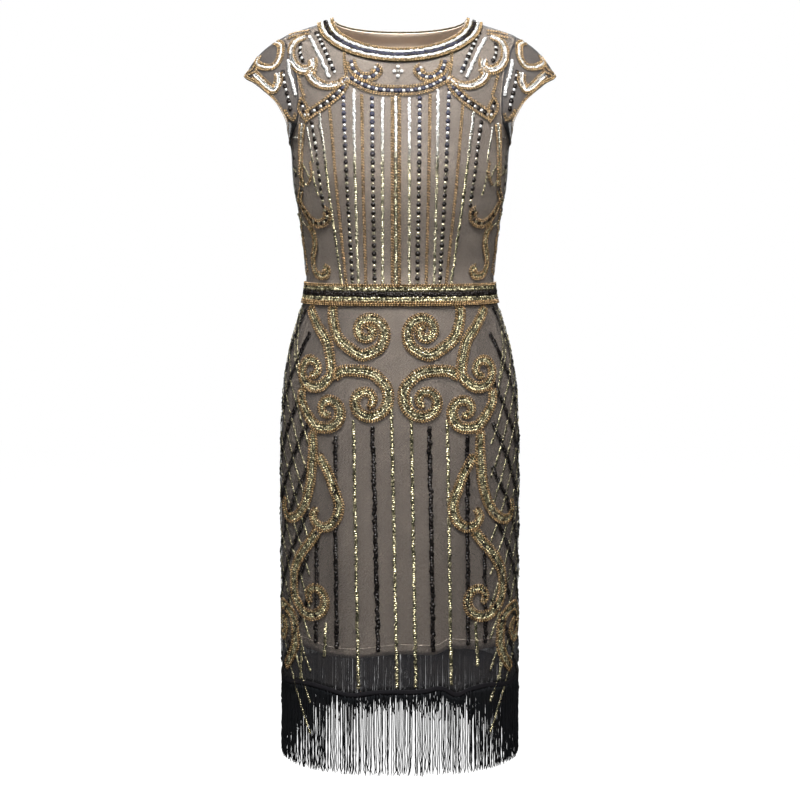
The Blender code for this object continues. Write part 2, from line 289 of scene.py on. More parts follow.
def turn_round(side, s, drop):
    """The turn at a distance round from the centre of one side."""
    near, quarter = read_tape(side, np.abs(s), drop)
    beyond = read_tape(-side, np.zeros(len(s)), drop)[1]
    far = read_tape(-side, quarter + beyond - np.abs(s), drop)[0]
    turn = np.where(np.abs(s) <= quarter, near, math.pi - far)
    turn = turn if side == FRONT else math.pi - turn
    return np.where(s < 0, -turn, turn)


def round_body(side):
    """A chart of distance round from the centre of one side, and drop."""

    def chart(s, drop, off=0.0):
        s, drop = np.asarray(s, float), np.asarray(drop, float)
        return body(turn_round(side, s, drop), drop, off)

    return chart


def straight_on(side):
    """A chart of x and drop, as seen from straight in front or behind."""

    def chart(x, drop, off=0.0):
        x, drop = np.asarray(x, float), np.asarray(drop, float)
        return body(turn_across(x, drop, side), drop, off)

    return chart


def flipped(chart):
    return lambda u, v, off=0.0: chart(-np.asarray(u, float), v, off)


def smooth_path(knots, per=12):
    """A smooth curve through a few given places, as many small steps."""
    knots = np.array(knots, float)
    ends = np.concatenate([[2 * knots[0] - knots[1]], knots, [2 * knots[-1] - knots[-2]]])
    t = np.linspace(0, 1, per, endpoint=False)[:, None]
    runs = []
    for p0, p1, p2, p3 in zip(ends, ends[1:], ends[2:], ends[3:]):
        runs.append(
            0.5 * (2 * p1 + (p2 - p0) * t + (2 * p0 - 5 * p1 + 4 * p2 - p3) * t**2
                   + (3 * p1 - p0 - 3 * p2 + p3) * t**3)
        )
    return np.concatenate([*runs, knots[-1:]])


def in_mm(*knots):
    """A smooth curve through places given in millimetres."""
    return smooth_path(np.array(knots) * MM)


def volute(centre, start, end, start_radius, end_radius, per_turn=48):
    """A spiral about a centre. Angles are in degrees: 0 outwards, 90 down the dress."""
    count = max(8, int(abs(end - start) / 360 * per_turn))
    angle = np.radians(np.linspace(start, end, count))
    radius = np.geomspace(start_radius, end_radius, count)
    return np.stack([centre[0] + radius * np.cos(angle), centre[1] + radius * np.sin(angle)], 1)


def beside(chart, path, distance):
    """The path moved sideways over the cloth, by a distance in metres."""
    u, v = path.T
    here, normal = chart(u, v)
    ahead = np.gradient(here, axis=0)
    across = np.cross(normal, ahead)
    across /= np.linalg.norm(across, axis=1, keepdims=True)
    tiny = 1e-4
    by_u = (chart(u + tiny, v)[0] - here) / tiny
    by_v = (chart(u, v + tiny)[0] - here) / tiny
    uu, vv = (by_u**2).sum(1), (by_v**2).sum(1)
    uv, au, av = (by_u * by_v).sum(1), (across * by_u).sum(1), (across * by_v).sum(1)
    scale = np.broadcast_to(distance, len(u)) / (uu * vv - uv * uv)
    return path + np.stack([(au * vv - av * uv) * scale, (av * uu - au * uv) * scale], 1)


def walk(chart, path, spacing, off, first=0.5):
    """Evenly spaced places along a path: points, normals, directions and shares."""
    here = chart(*path.T)[0]
    steps = np.linalg.norm(np.diff(here, axis=0), axis=1)
    far = np.concatenate([[0], steps.cumsum()])
    count = max(1, int(far[-1] / spacing))
    at = (np.arange(count) + first) * far[-1] / count
    u, v = np.interp(at, far, path[:, 0]), np.interp(at, far, path[:, 1])
    points, normals = chart(u, v, off)
    k = np.clip(np.searchsorted(far, at) - 1, 0, len(steps) - 1)
    ahead = here[k + 1] - here[k]
    ahead -= (ahead * normals).sum(1, keepdims=True) * normals
    ahead /= np.linalg.norm(ahead, axis=1, keepdims=True)
    return points, normals, ahead, at / far[-1]


def half_girth(tape_number):
    """Half the way round the body at one of the tapes, in metres."""
    return float(TAPES[FRONT][tape_number, -1] + TAPES[BACK][tape_number, -1])


print("half girth at the hip:", round(half_girth(HIP_TAPE), 3))

# %% [markdown]
# ## Finishes shared by several pieces
# A node group is a recipe that several materials share. One varies a colour a little
# over the cloth. One gives every sequin or bead its own tone, read from an attribute
# that each copy carries, and a paler one high on the chest, which is a painted
# highlight of the light from above. One draws the holes of a net and one the ribs of
# jersey, both on a flat map of the cloth, in metres. Painted textures could hold the
# same, but fine thread goes soft in them when it is seen close up.

# %% Node groups


def new_group(name, inputs, outputs):
    group = bpy.data.node_groups.new(name, "ShaderNodeTree")
    for socket, kind, value in inputs:
        made = group.interface.new_socket(socket, in_out="INPUT", socket_type=kind)
        made.default_value = value
    for socket, kind in outputs:
        group.interface.new_socket(socket, in_out="OUTPUT", socket_type=kind)
    start, end = group.nodes.new("NodeGroupInput"), group.nodes.new("NodeGroupOutput")
    return group, start.outputs, end.inputs


def node(tree, kind, links=(), **settings):
    """Adds a node; links are (input, output socket or value) pairs."""
    made = tree.nodes.new(kind)
    for key, value in settings.items():
        setattr(made, key, value)
    for key, value in dict(links).items():
        if isinstance(value, bpy.types.NodeSocket):
            tree.links.new(value, made.inputs[key])
        else:
            made.inputs[key].default_value = value
    return made


def maths(tree, operation, first, second=0.0, clamp=False):
    made = node(tree, "ShaderNodeMath", {0: first, 1: second}, operation=operation)
    made.use_clamp = clamp
    return made.outputs[0]


def mixed(tree, factor, first, second):
    made = tree.nodes.new("ShaderNodeMix")
    made.data_type = "RGBA"
    for key, value in ((0, factor), (6, first), (7, second)):
        if isinstance(value, bpy.types.NodeSocket):
            tree.links.new(value, made.inputs[key])
        else:
            made.inputs[key].default_value = value
    return made.outputs[2]


COLOUR, NUMBER = "NodeSocketColor", "NodeSocketFloat"


def mottle_group():
    """A colour that drifts between two over the cloth, at two sizes."""
    group, given, out = new_group(
        "mottle",
        [("Colour", COLOUR, (0.5, 0.5, 0.5, 1)), ("Other", COLOUR, (0.4, 0.4, 0.4, 1)),
         ("Size", NUMBER, 30.0)],
        [("Colour", COLOUR)],
    )
    place = node(group, "ShaderNodeTexCoord").outputs["Object"]
    coarse = node(group, "ShaderNodeTexNoise", {"Vector": place, "Scale": given["Size"]})
    finer = maths(group, "MULTIPLY", given["Size"], 9.0)
    fine = node(group, "ShaderNodeTexNoise", {"Vector": place, "Scale": finer})
    both = maths(group, "ADD", coarse.outputs["Fac"], fine.outputs["Fac"])
    drift = maths(group, "MULTIPLY_ADD", both, 1.6)
    group.nodes[-1].inputs[2].default_value = -1.1
    group.nodes[-1].use_clamp = True
    group.links.new(mixed(group, drift, given["Colour"], given["Other"]), out["Colour"])
    return group


HIGHLIGHT_FOOT, HIGHLIGHT_TOP = -0.205, -0.150  # heights between which the painted highlight comes in
HIGHLIGHT_SIDE = (0.078, 0.092)  # and how far out the painted highlight fades again, for the black sequins
HUB_EDGE, HUB_COLOUR = 0.68, (0.02, 0.016, 0.012, 1)
ROUGH_LOW, ROUGH_RANGE = 0.17, 0.16


def tone_group():
    """Dark, middle or light by each copy's own tone; a painted highlight high on the chest."""
    group, given, out = new_group(
        "tone",
        [("Dark", COLOUR, (0.1, 0.1, 0.1, 1)), ("Light", COLOUR, (0.9, 0.9, 0.9, 1)),
         ("Pale", COLOUR, (0.9, 0.9, 0.9, 1)), ("Paleness", NUMBER, 0.0),
         ("Only centre", NUMBER, 0.0)],
        [("Colour", COLOUR), ("Roughness", NUMBER)],
    )
    tone = node(group, "ShaderNodeAttribute", attribute_name="tone").outputs["Fac"]
    hub = node(group, "ShaderNodeAttribute", attribute_name="hub").outputs["Fac"]
    place = node(group, "ShaderNodeTexCoord").outputs["Object"]
    split = node(group, "ShaderNodeSeparateXYZ", {0: place}).outputs
    high = node(
        group, "ShaderNodeMapRange",
        {"Value": split["Z"], "From Min": HIGHLIGHT_FOOT, "From Max": HIGHLIGHT_TOP},
    ).outputs[0]
    beyond = node(
        group, "ShaderNodeMapRange",
        {"Value": maths(group, "ABSOLUTE", split["X"]), "From Min": HIGHLIGHT_SIDE[0],
         "From Max": HIGHLIGHT_SIDE[1]},
    ).outputs[0]
    held_back = maths(group, "MULTIPLY", beyond, given["Only centre"])
    kept = maths(group, "SUBTRACT", 1.0, held_back)
    # painted highlight: high on the chest each copy is mixed towards a paler colour, as if lit
    # from above
    painted_highlight = maths(group, "MULTIPLY", maths(group, "MULTIPLY", high, kept), given["Paleness"],
                 clamp=True)
    colour = mixed(group, tone, given["Dark"], given["Light"])
    colour = mixed(group, painted_highlight, colour, given["Pale"])
    hole = maths(group, "GREATER_THAN", hub, HUB_EDGE)
    colour = mixed(group, hole, colour, HUB_COLOUR)
    rough = maths(group, "MULTIPLY_ADD", tone, ROUGH_RANGE)
    group.nodes[-1].inputs[2].default_value = ROUGH_LOW
    group.links.new(colour, out["Colour"])
    group.links.new(rough, out["Roughness"])
    return group


def net_group():
    """The threads of a fine net: how much thread there is at each place."""
    group, given, out = new_group(
        "net holes",
        [("Mesh per metre", NUMBER, 700.0), ("Thread", NUMBER, 0.4)],
        [("Thread", NUMBER)],
    )
    flat = node(group, "ShaderNodeUVMap", uv_map="cloth").outputs[0]
    cell = node(
        group, "ShaderNodeTexVoronoi", {"Vector": flat, "Scale": given["Mesh per metre"],
                                        "Randomness": 0.35},
        voronoi_dimensions="2D", feature="DISTANCE_TO_EDGE",
    ).outputs["Distance"]
    edge = node(
        group, "ShaderNodeMapRange",
        {"Value": cell, "From Min": given["Thread"], "From Max": 0.02,
         "To Min": 0.0, "To Max": 1.0},
    ).outputs[0]
    group.links.new(edge, out["Thread"])
    return group


def rib_group():
    """The fine ribs of a knit, as a height for a bump."""
    group, given, out = new_group(
        "knit ribs", [("Ribs per metre", NUMBER, 900.0)], [("Height", NUMBER)]
    )
    flat = node(group, "ShaderNodeUVMap", uv_map="cloth").outputs[0]
    split = node(group, "ShaderNodeSeparateXYZ", {0: flat})
    across = maths(group, "MULTIPLY", split.outputs["X"], given["Ribs per metre"])
    down = maths(group, "MULTIPLY", split.outputs["Y"], given["Ribs per metre"])
    zig = maths(group, "PINGPONG", across, 1.0)
    loops = maths(group, "ADD", down, maths(group, "MULTIPLY", zig, 0.7))
    wale = maths(group, "SINE", maths(group, "MULTIPLY", across, math.tau))
    course = maths(group, "SINE", maths(group, "MULTIPLY", loops, math.tau))
    height = maths(group, "ADD", wale, maths(group, "MULTIPLY", course, 0.6))
    group.links.new(height, out["Height"])
    return group


MOTTLE, TONE, NET_HOLES, KNIT = mottle_group(), tone_group(), net_group(), rib_group()
print("node groups:", [g.name for g in bpy.data.node_groups])

# %% [markdown]
# ## Materials
# The net is black thread with holes, so the slip shows through it and is darkened by it.
# Below the slip's hem it is nearly solid black, with long upright threads. The slip is a
# matt taupe knit. Sequins are thin metal-bright plastic and each has its own tone. The
# outline beads are a duller copper gold. The fringe is twisted black rayon. The glitter
# could be painted on as noise. It comes from each copy's own tilt and tone instead, as it
# does on real sequins.

# %% Materials


def new_material(name):
    material = bpy.data.materials.new(name)
    material.use_nodes = True
    tree = material.node_tree
    return material, tree, tree.nodes["Principled BSDF"]


def placed(tree, group, **values):
    made = node(tree, "ShaderNodeGroup", node_tree=group)
    for key, value in values.items():
        made.inputs[key.replace("_", " ")].default_value = value
    return made.outputs


HEM_NET_TOP, HEM_NET_FULL = -0.879, -0.888  # heights where the darker net sets in
HEM_THREADS_PER_METRE = 620.0


def hem_threads(tree, thread):
    """Below the slip the net is darker, with long upright threads drawn in it."""
    place = node(tree, "ShaderNodeTexCoord").outputs["Object"]
    height = node(tree, "ShaderNodeSeparateXYZ", {0: place}).outputs["Z"]
    low = node(tree, "ShaderNodeMapRange",
               {"Value": height, "From Min": HEM_NET_TOP,
                "From Max": HEM_NET_FULL}).outputs[0]
    flat = node(tree, "ShaderNodeUVMap", uv_map="cloth").outputs[0]
    drawn = node(tree, "ShaderNodeVectorMath", {0: flat, 1: (1.0, 0.02, 1.0)},
                 operation="MULTIPLY").outputs[0]
    lines = node(tree, "ShaderNodeTexNoise",
                 {"Vector": drawn, "Scale": HEM_THREADS_PER_METRE})
    dark = node(tree, "ShaderNodeMapRange",
                {"Value": lines.outputs["Fac"], "From Min": 0.45, "From Max": 0.55,
                 "To Min": 0.36, "To Max": 0.74}).outputs[0]
    return maths(tree, "MAXIMUM", thread, maths(tree, "MULTIPLY", dark, low))


def net_material(name, thread, darker_foot=False):
    material, tree, shader = new_material(name)
    colour = placed(tree, MOTTLE, Colour=(0.012, 0.012, 0.014, 1),
                    Other=(0.020, 0.018, 0.018, 1), Size=24.0)
    tree.links.new(colour["Colour"], shader.inputs["Base Color"])
    holes = placed(tree, NET_HOLES, Thread=thread)
    seen = hem_threads(tree, holes["Thread"]) if darker_foot else holes["Thread"]
    tree.links.new(seen, shader.inputs["Alpha"])
    shader.inputs["Roughness"].default_value = 0.7
    shader.inputs["Specular IOR Level"].default_value = 0.2
    return material


def jersey_material():
    material, tree, shader = new_material("slip_jersey")
    colour = placed(tree, MOTTLE, Colour=(0.600, 0.495, 0.400, 1),
                    Other=(0.545, 0.445, 0.355, 1), Size=18.0)
    ribs = placed(tree, KNIT)
    bump = node(tree, "ShaderNodeBump", {"Height": ribs["Height"], "Strength": 0.25,
                                        "Distance": 0.0003})
    tree.links.new(colour["Colour"], shader.inputs["Base Color"])
    tree.links.new(bump.outputs[0], shader.inputs["Normal"])
    shader.inputs["Roughness"].default_value = 0.85
    shader.inputs["Sheen Weight"].default_value = 0.12
    return material


def bright_material(name, dark, light, painted_highlight, painted_highlight_share, metal, coat=0.0, shine=0.5,
                    only_centre=0.0):
    material, tree, shader = new_material(name)
    tone = placed(tree, TONE, Dark=(*dark, 1), Light=(*light, 1), Pale=(*painted_highlight, 1),
                  Paleness=painted_highlight_share, Only_centre=only_centre)
    tree.links.new(tone["Colour"], shader.inputs["Base Color"])
    tree.links.new(tone["Roughness"], shader.inputs["Roughness"])
    shader.inputs["Metallic"].default_value = metal
    shader.inputs["Specular IOR Level"].default_value = shine
    shader.inputs["Coat Weight"].default_value = coat
    shader.inputs["Coat Roughness"].default_value = 0.12
    return material


def cord_material(name, colour, other, twist):
    material, tree, shader = new_material(name)
    mottle = placed(tree, MOTTLE, Colour=(*colour, 1), Other=(*other, 1), Size=60.0)
    flat = node(tree, "ShaderNodeUVMap", uv_map="cloth").outputs[0]
    split = node(tree, "ShaderNodeSeparateXYZ", {0: flat})
    lean = maths(tree, "MULTIPLY", split.outputs["Y"], twist)
    strand = maths(tree, "SINE", maths(tree, "ADD", lean, split.outputs["X"]))
    bump = node(tree, "ShaderNodeBump", {"Height": strand, "Strength": 0.5,
                                        "Distance": 0.0003})
    tree.links.new(mottle["Colour"], shader.inputs["Base Color"])
    tree.links.new(bump.outputs[0], shader.inputs["Normal"])
    shader.inputs["Roughness"].default_value = 0.7
    shader.inputs["Specular IOR Level"].default_value = 0.08
    return material


NET = net_material("black_net", 0.21)
SKIRT_NET = net_material("skirt_net", 0.26, True)
SLEEVE_NET = net_material("sleeve_net", 0.68)
JERSEY = jersey_material()
# the third colour and its share are a painted highlight, paler copies high on the chest; on the
# black sequins it is a faint blue painted reflection, kept to the centre
GOLD_SEQUIN = bright_material(
    "gold_sequin", (0.12, 0.115, 0.065), (0.60, 0.53, 0.33), (0.82, 0.81, 0.76), 0.85, 0.80
)
BLACK_SEQUIN = bright_material(
    "black_sequin", (0.004, 0.003, 0.003), (0.014, 0.011, 0.010), (0.040, 0.043, 0.070), 0.7,
    0.0, 0.0, 0.16, 1.0,
)
CLEAR_SEQUIN = bright_material(
    "light_sequin", (0.11, 0.105, 0.065), (0.60, 0.54, 0.36), (0.88, 0.88, 0.86), 1.0, 0.45
)
COPPER_BEAD = bright_material(
    "copper_gold_bead", (0.050, 0.027, 0.012), (0.52, 0.335, 0.15), (0.44, 0.33, 0.18), 0.2, 0.6
)
BAND_GROUND = cord_material("band_ground", (0.08, 0.065, 0.035), (0.05, 0.04, 0.02), 3000.0)
FRINGE_CORD = cord_material("fringe_cord", (0.003, 0.004, 0.005), (0.006, 0.006, 0.007), 5000.0)
STITCH = cord_material("slip_stitch", (0.78, 0.67, 0.56), (0.72, 0.60, 0.49), 900.0)
BRAID = cord_material("fringe_braid", (0.003, 0.003, 0.004), (0.006, 0.005, 0.006), 2400.0)
print("materials:", len(bpy.data.materials))

# %% [markdown]
# ## Cloth panels
# A panel is a grid of points on the body surface, finer than the solid it replaces. Its
# columns fan from the side seam up to the neckline. Net and slip could stay single
# layers. Solidify gives both a wall instead, so that a cut edge has its thickness and
# the cloth holds its form from inside as well.

# %% Panel maker


def make_mesh(name, vertices, faces, material, smooth=True):
    mesh = bpy.data.meshes.new(name)
    mesh.from_pydata(np.asarray(vertices).reshape(-1, 3).tolist(), [], faces)
    mesh.materials.append(material)
    if smooth:
        mesh.shade_smooth()
    made = bpy.data.objects.new(name, mesh)
    bpy.context.collection.objects.link(made)
    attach(made, "root")
    return made


def write_map(mesh, name, per_vertex):
    """Gives every face corner its vertex's place on a flat map."""
    corner = np.empty(len(mesh.loops), dtype=np.int32)
    mesh.loops.foreach_get("vertex_index", corner)
    layer = mesh.uv_layers.new(name=name)
    layer.data.foreach_set("uv", per_vertex[corner].astype(np.float32).ravel())


def grid_faces(rows, columns, ring=False):
    across = columns if ring else columns - 1
    faces = []
    for i in range(rows - 1):
        for j in range(across):
            a, b = i * columns + j, i * columns + (j + 1) % columns
            faces.append((a, b, b + columns, a + columns))
    return faces


def cloth(name, points, flat, material, wall=0.0):
    """A sheet from a grid of points, with its flat map, and a wall if it has one."""
    rows, columns = points.shape[:2]
    sheet = make_mesh(name, points, grid_faces(rows, columns), material)
    mesh = sheet.data
    centre = points.reshape(-1, 3).mean(axis=0) * (0, 0, 1)
    facing = sum(p.normal.dot(p.center - type(p.center)(centre)) for p in mesh.polygons)
    if facing < 0:
        mesh.flip_normals()
    write_map(mesh, "cloth", flat.reshape(-1, 2))
    if wall:
        bpy.context.view_layer.objects.active = sheet
        sheet.modifiers.new("wall", "SOLIDIFY").thickness = wall
        sheet.modifiers["wall"].offset = -1
        bpy.ops.object.modifier_apply(modifier="wall")
    return sheet


def hem_wave(turn, waves):
    """How much lower a hem hangs here than its usual drop."""
    low = np.zeros(np.shape(turn))
    for at, wide, deep in waves:
        away = (turn - at + math.pi) % (2 * math.pi) - math.pi
        low += deep * MM * np.exp(-((away / wide) ** 2))
    return low


NET_WAVES = (
    # turn, width in radians, how much lower in mm
    (-0.36, 0.16, 6.0), (-0.05, 0.20, -0.5), (0.27, 0.10, -5.0), (0.42, 0.08, 6.5),
    (0.72, 0.14, -2.5), (1.10, 0.20, 3.0), (-0.80, 0.20, -3.0), (-1.25, 0.20, 3.5),
    (1.75, 0.2, -3.0), (2.2, 0.2, 4.0), (2.7, 0.2, -3.0), (-1.8, 0.2, -2.0),
    (-2.3, 0.25, 4.0), (-2.85, 0.2, -3.5),
)
SLIP_WAVES = (
    (-0.40, 0.30, 5.0), (0.0, 0.18, -3.5), (0.36, 0.08, -9.0), (0.50, 0.10, -6.0),
    (-0.85, 0.15, -4.0), (0.80, 0.20, -4.0), (1.3, 0.2, 2.0), (-1.3, 0.2, 3.0),
    (2.0, 0.3, 4.0), (2.6, 0.2, -4.0), (-2.0, 0.3, -4.0), (-2.7, 0.3, 4.0),
)


def panel_turns(side, columns):
    turn = np.linspace(-math.pi / 2, math.pi / 2, 2 * columns + 1)
    return turn if side == FRONT else math.pi - turn


def bodice_places(side, columns=44, rows=56):
    """Turns and drops from the waist seam up to the neckline and shoulder seam."""
    top_x, top_drop = panel_top(side, columns)
    low = np.concatenate([np.linspace(WAIST_SEAM, UNDERARM, rows // 2, endpoint=False),
                          np.linspace(UNDERARM, SHOULDER, rows // 2)])
    in_armhole = through(ARMHOLE[:, 0], ARMHOLE[:, 1], np.minimum(low, UNDERARM))
    edge_x = np.where(low < UNDERARM, in_armhole, half_width(low))
    share = (WAIST_SEAM - low) / (WAIST_SEAM - SHOULDER)
    lean = np.clip((FAN_START - low) / (FAN_START - SHOULDER), 0, 1)[:, None]
    turn = np.linspace(-math.pi / 2, math.pi / 2, 2 * columns + 1)
    spread = np.sign(turn) * np.abs(np.sin(turn)) ** (2 / ROUNDNESS)
    x = (1 - lean) * edge_x[:, None] * spread + lean * top_x
    x[:, 0], x[:, -1] = -edge_x, edge_x
    drop = WAIST_SEAM + (top_drop - WAIST_SEAM) * share[:, None]
    return x, drop


def outline_drop(x):
    drops = np.linspace(0, SHOULDER, 200)
    return np.interp(x, half_width(drops), drops)


def panel_top(side, columns):
    neck_drop = FRONT_NECK if side == FRONT else BACK_NECK
    neck_columns = round(columns * 5 / 7)
    j = np.arange(-columns, columns + 1)
    turn = np.clip(j / neck_columns, -1, 1) * math.pi / 2
    beyond = np.clip((np.abs(j) - neck_columns) / (columns - neck_columns), 0, 1)
    x = NECK_HALF_WIDTH + (ARMHOLE[0, 1] - NECK_HALF_WIDTH) * beyond
    on_neck = np.abs(j) <= neck_columns
    top_x = np.where(on_neck, NECK_HALF_WIDTH * np.sin(turn), np.copysign(x, j))
    top_drop = np.where(on_neck, neck_drop * np.cos(turn), outline_drop(x))
    return top_x, top_drop


def flat_of(points):
    """A flat map of a grid, in metres, from distances along its rows and columns."""
    across = np.linalg.norm(np.diff(points, axis=1), axis=2).cumsum(axis=1)
    across = np.concatenate([np.zeros((len(points), 1)), across], axis=1)
    across -= across[:, [points.shape[1] // 2]]
    down = np.linalg.norm(np.diff(points, axis=0), axis=2).cumsum(axis=0)
    down = np.concatenate([np.zeros((1, points.shape[1])), down], axis=0)
    return np.stack([across, down], axis=-1)


print("panel maker ready")

# %% Net panels and slip
SLIP_IN, SLIP_WALL, NET_WALL = -1.4 * MM, 1.0 * MM, 0.9 * MM
part_of = {FRONT: "front", BACK: "back"}
panels = {}
for side in (FRONT, BACK):
    name = part_of[side]
    x, bodice_drop = bodice_places(side)
    bodice_turn = turn_across(x, bodice_drop, side)
    net = body(bodice_turn, bodice_drop)[0]
    panels[f"bodice_{name}"] = cloth(f"net_bodice_{name}", net, flat_of(net), NET, NET_WALL)

    columns = panel_turns(side, 60)
    rows = np.linspace(0, 1, 90)[:, None]
    drop = WAIST_SEAM + rows * (NET_HEM + hem_wave(columns, NET_WAVES) - WAIST_SEAM)
    net = body(columns, drop)[0]
    panels[f"skirt_{name}"] = cloth(f"net_skirt_{name}", net, flat_of(net), SKIRT_NET,
                                   NET_WALL)

    above = body(bodice_turn, bodice_drop, SLIP_IN)[0][::-1]
    columns = panel_turns(side, 44)
    rows = np.linspace(0, 1, 70)[1:, None]
    drop = WAIST_SEAM + rows * (SLIP_HEM + hem_wave(columns, SLIP_WAVES) - WAIST_SEAM)
    below = body(columns, drop, SLIP_IN)[0]
    both = np.concatenate([above, below])
    panels[f"slip_{name}"] = cloth(f"slip_{name}_jersey", both, flat_of(both), JERSEY,
                                  SLIP_WALL)
for key, piece in panels.items():
    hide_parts(key)
print("panels:", {k: len(p.data.polygons) for k, p in panels.items()})

# %% [markdown]
# ## Cap sleeves
# Each sleeve is a short crown of net that springs from the armhole and ends in a bound
# hem. Its chart runs once round the armhole and out from the seam to the hem. It could be
# cut out of a wider bodice. It is stretched between two closed curves instead, because
# its seam has to follow the armhole and the two edges are all that is known of it.

# %% Sleeves
def closed_curve(loop, at):
    """Smooth places round a closed loop of points, by share of its length in steps."""
    count = len(loop)
    at = np.asarray(at) % 1.0 * count
    k, t = at.astype(int), (at % 1)[..., None]
    p0, p1, p2, p3 = (loop[(k + n) % count] for n in (-1, 0, 1, 2))
    return 0.5 * (2 * p1 + (p2 - p0) * t + (2 * p0 - 5 * p1 + 4 * p2 - p3) * t**2
                  + (3 * p1 - p0 - 3 * p2 + p3) * t**3)


def armhole_loop():
    drops = SLEEVE_HEM[:, 0]
    x = through(ARMHOLE[:, 0], ARMHOLE[:, 1], drops)
    front = body(turn_across(x, drops, FRONT), drops)
    back = body(turn_across(x, drops, BACK), drops)
    points = np.concatenate([front[0], back[0][-2:0:-1]])
    normals = np.concatenate([front[1], back[1][-2:0:-1]])
    return points, normals


HOLE, HOLE_NORMAL = armhole_loop()
HEM = np.stack([SLEEVE_HEM[:, 1], -SLEEVE_HEM[:, 2], -SLEEVE_HEM[:, 3]], axis=1)
HEM = np.concatenate([HEM, (HEM * (1, -1, 1))[-2:0:-1]])


def sleeve_point(round_, out):
    start, hem = closed_curve(HOLE, round_), closed_curve(HEM, round_)
    crown = start + (hem - start) * SLEEVE_BULGE
    t = np.asarray(out)[..., None]
    pucker = 0.0012 * np.sin(np.asarray(round_) * math.tau * 9) * np.asarray(out) ** 2
    place = (1 - t) ** 2 * start + 2 * t * (1 - t) * crown + t * t * hem
    return place + pucker[..., None] * np.array((0.5, 0.0, 0.8))


def sleeve_chart(mirrored):
    """A chart of share round the armhole (0 top, 0.25 front) and share out to the hem."""

    def chart(round_, out, off=0.0):
        round_, out = np.broadcast_arrays(np.asarray(round_, float), np.asarray(out, float))
        tiny = 1e-3
        place = sleeve_point(round_, out)
        by_round = sleeve_point(round_ + tiny, out) - sleeve_point(round_ - tiny, out)
        by_out = sleeve_point(round_, np.minimum(out + tiny, 1)) - sleeve_point(
            round_, np.maximum(out - tiny, 0))
        normal = np.cross(by_out, by_round)
        normal /= np.linalg.norm(normal, axis=-1, keepdims=True)
        facing = (normal * closed_curve(HOLE_NORMAL, round_)).sum(-1, keepdims=True)
        normal = np.where(facing < 0, -normal, normal)
        place = place + normal * off
        flip = np.array((-1, 1, 1) if mirrored else (1, 1, 1))
        return place * flip, normal * flip

    return chart


sleeves, sleeve_linings = {}, {}
for mirrored, name in ((False, "left"), (True, "right")):
    round_ = np.linspace(0, 1, 121)
    out = np.linspace(0, 1, 19)[:, None]
    points = sleeve_chart(mirrored)(round_[None, :-1], out)[0]
    rows, columns = points.shape[:2]
    sleeve = make_mesh(f"net_sleeve_{name}", points, grid_faces(rows, columns, True), SLEEVE_NET)
    middle = points[:, :, 1:].mean(axis=(0, 1))
    outward = sum(
        p.normal.y * (p.center.y - middle[0]) + p.normal.z * (p.center.z - middle[1])
        for p in sleeve.data.polygons
    )
    if outward < 0:
        sleeve.data.flip_normals()
    flat = flat_of(np.concatenate([points, points[:, :1]], axis=1))[:, :-1]
    write_map(sleeve.data, "cloth", flat.reshape(-1, 2))
    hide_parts(f"sleeve_{name}")
    sleeves[name] = sleeve
    over = np.linspace(-0.30, 0.30, 61)
    inside = sleeve_chart(mirrored)(over[None], np.linspace(0, 0.95, 15)[:, None], -1.4 * MM)[0]
    lining = make_mesh(f"slip_cap_{name}", inside, grid_faces(15, 61), JERSEY)
    write_map(lining.data, "cloth", flat_of(inside).reshape(-1, 2))
    if sum(p.normal.z for p in lining.data.polygons) < 0:
        lining.data.flip_normals()
    sleeve_linings[name] = lining
print("sleeves:", list(sleeves))

# %% [markdown]
# ## One sequin, one bead
# A sequin is a thin cupped disc: a shallow cone with the middle of its cap pressed in. A
# bead is a small oval, and a ball pulled long would be the usual start. At this size two
# four-sided points set base to base read the same with a third of the faces. Each shape
# is modelled once and copied, because there are thousands of them.

# %% Sequin and bead


def take_shape():
    """The active object's mesh as arrays, with the object removed."""
    made = bpy.context.active_object
    mesh = made.data
    places = np.array([v.co[:] for v in mesh.vertices])
    mesh.calc_loop_triangles()
    triangles = np.array([t.vertices[:] for t in mesh.loop_triangles])
    bpy.data.objects.remove(made)
    return places, triangles


def model_sequin():
    bpy.ops.mesh.primitive_cone_add(
        vertices=8, radius1=0.0, radius2=1.0, depth=0.22, end_fill_type="TRIFAN"
    )
    mesh = bpy.context.active_object.data
    bpy.ops.object.mode_set(mode="EDIT")
    bpy.ops.mesh.remove_doubles(threshold=1e-4)
    bpy.ops.mesh.select_all(action="DESELECT")
    bpy.ops.object.mode_set(mode="OBJECT")
    for v in mesh.vertices:
        v.select = v.co.z > 0 and math.hypot(v.co.x, v.co.y) < 0.1
    bpy.ops.object.mode_set(mode="EDIT")
    bpy.ops.transform.translate(value=(0, 0, -0.13))
    bpy.ops.object.mode_set(mode="OBJECT")
    places, triangles = take_shape()
    hub = (np.hypot(places[:, 0], places[:, 1]) < 0.1).astype(float)
    return places, triangles, hub


def model_bead():
    bpy.ops.mesh.primitive_cone_add(
        vertices=4, radius1=1.0, radius2=0.0, depth=1.0, end_fill_type="TRIFAN"
    )
    bead = bpy.context.active_object
    for v in bead.data.vertices:
        v.select = v.co.z < 0 and math.hypot(v.co.x, v.co.y) < 0.1
    for edge in bead.data.edges:
        edge.select = False
    for face in bead.data.polygons:
        face.select = False
    bpy.ops.object.mode_set(mode="EDIT")
    bpy.ops.transform.translate(value=(0, 0, -1.0))
    bpy.ops.mesh.select_all(action="SELECT")
    bpy.ops.transform.translate(value=(0, 0, 0.5))
    bpy.ops.object.mode_set(mode="OBJECT")
    places, triangles = take_shape()
    places = places * (1.0, 0.44, 0.44)
    return places, triangles, np.zeros(len(places))


SEQUIN, BEAD = model_sequin(), model_bead()
print("sequin faces", len(SEQUIN[1]), "bead faces", len(BEAD[1]))

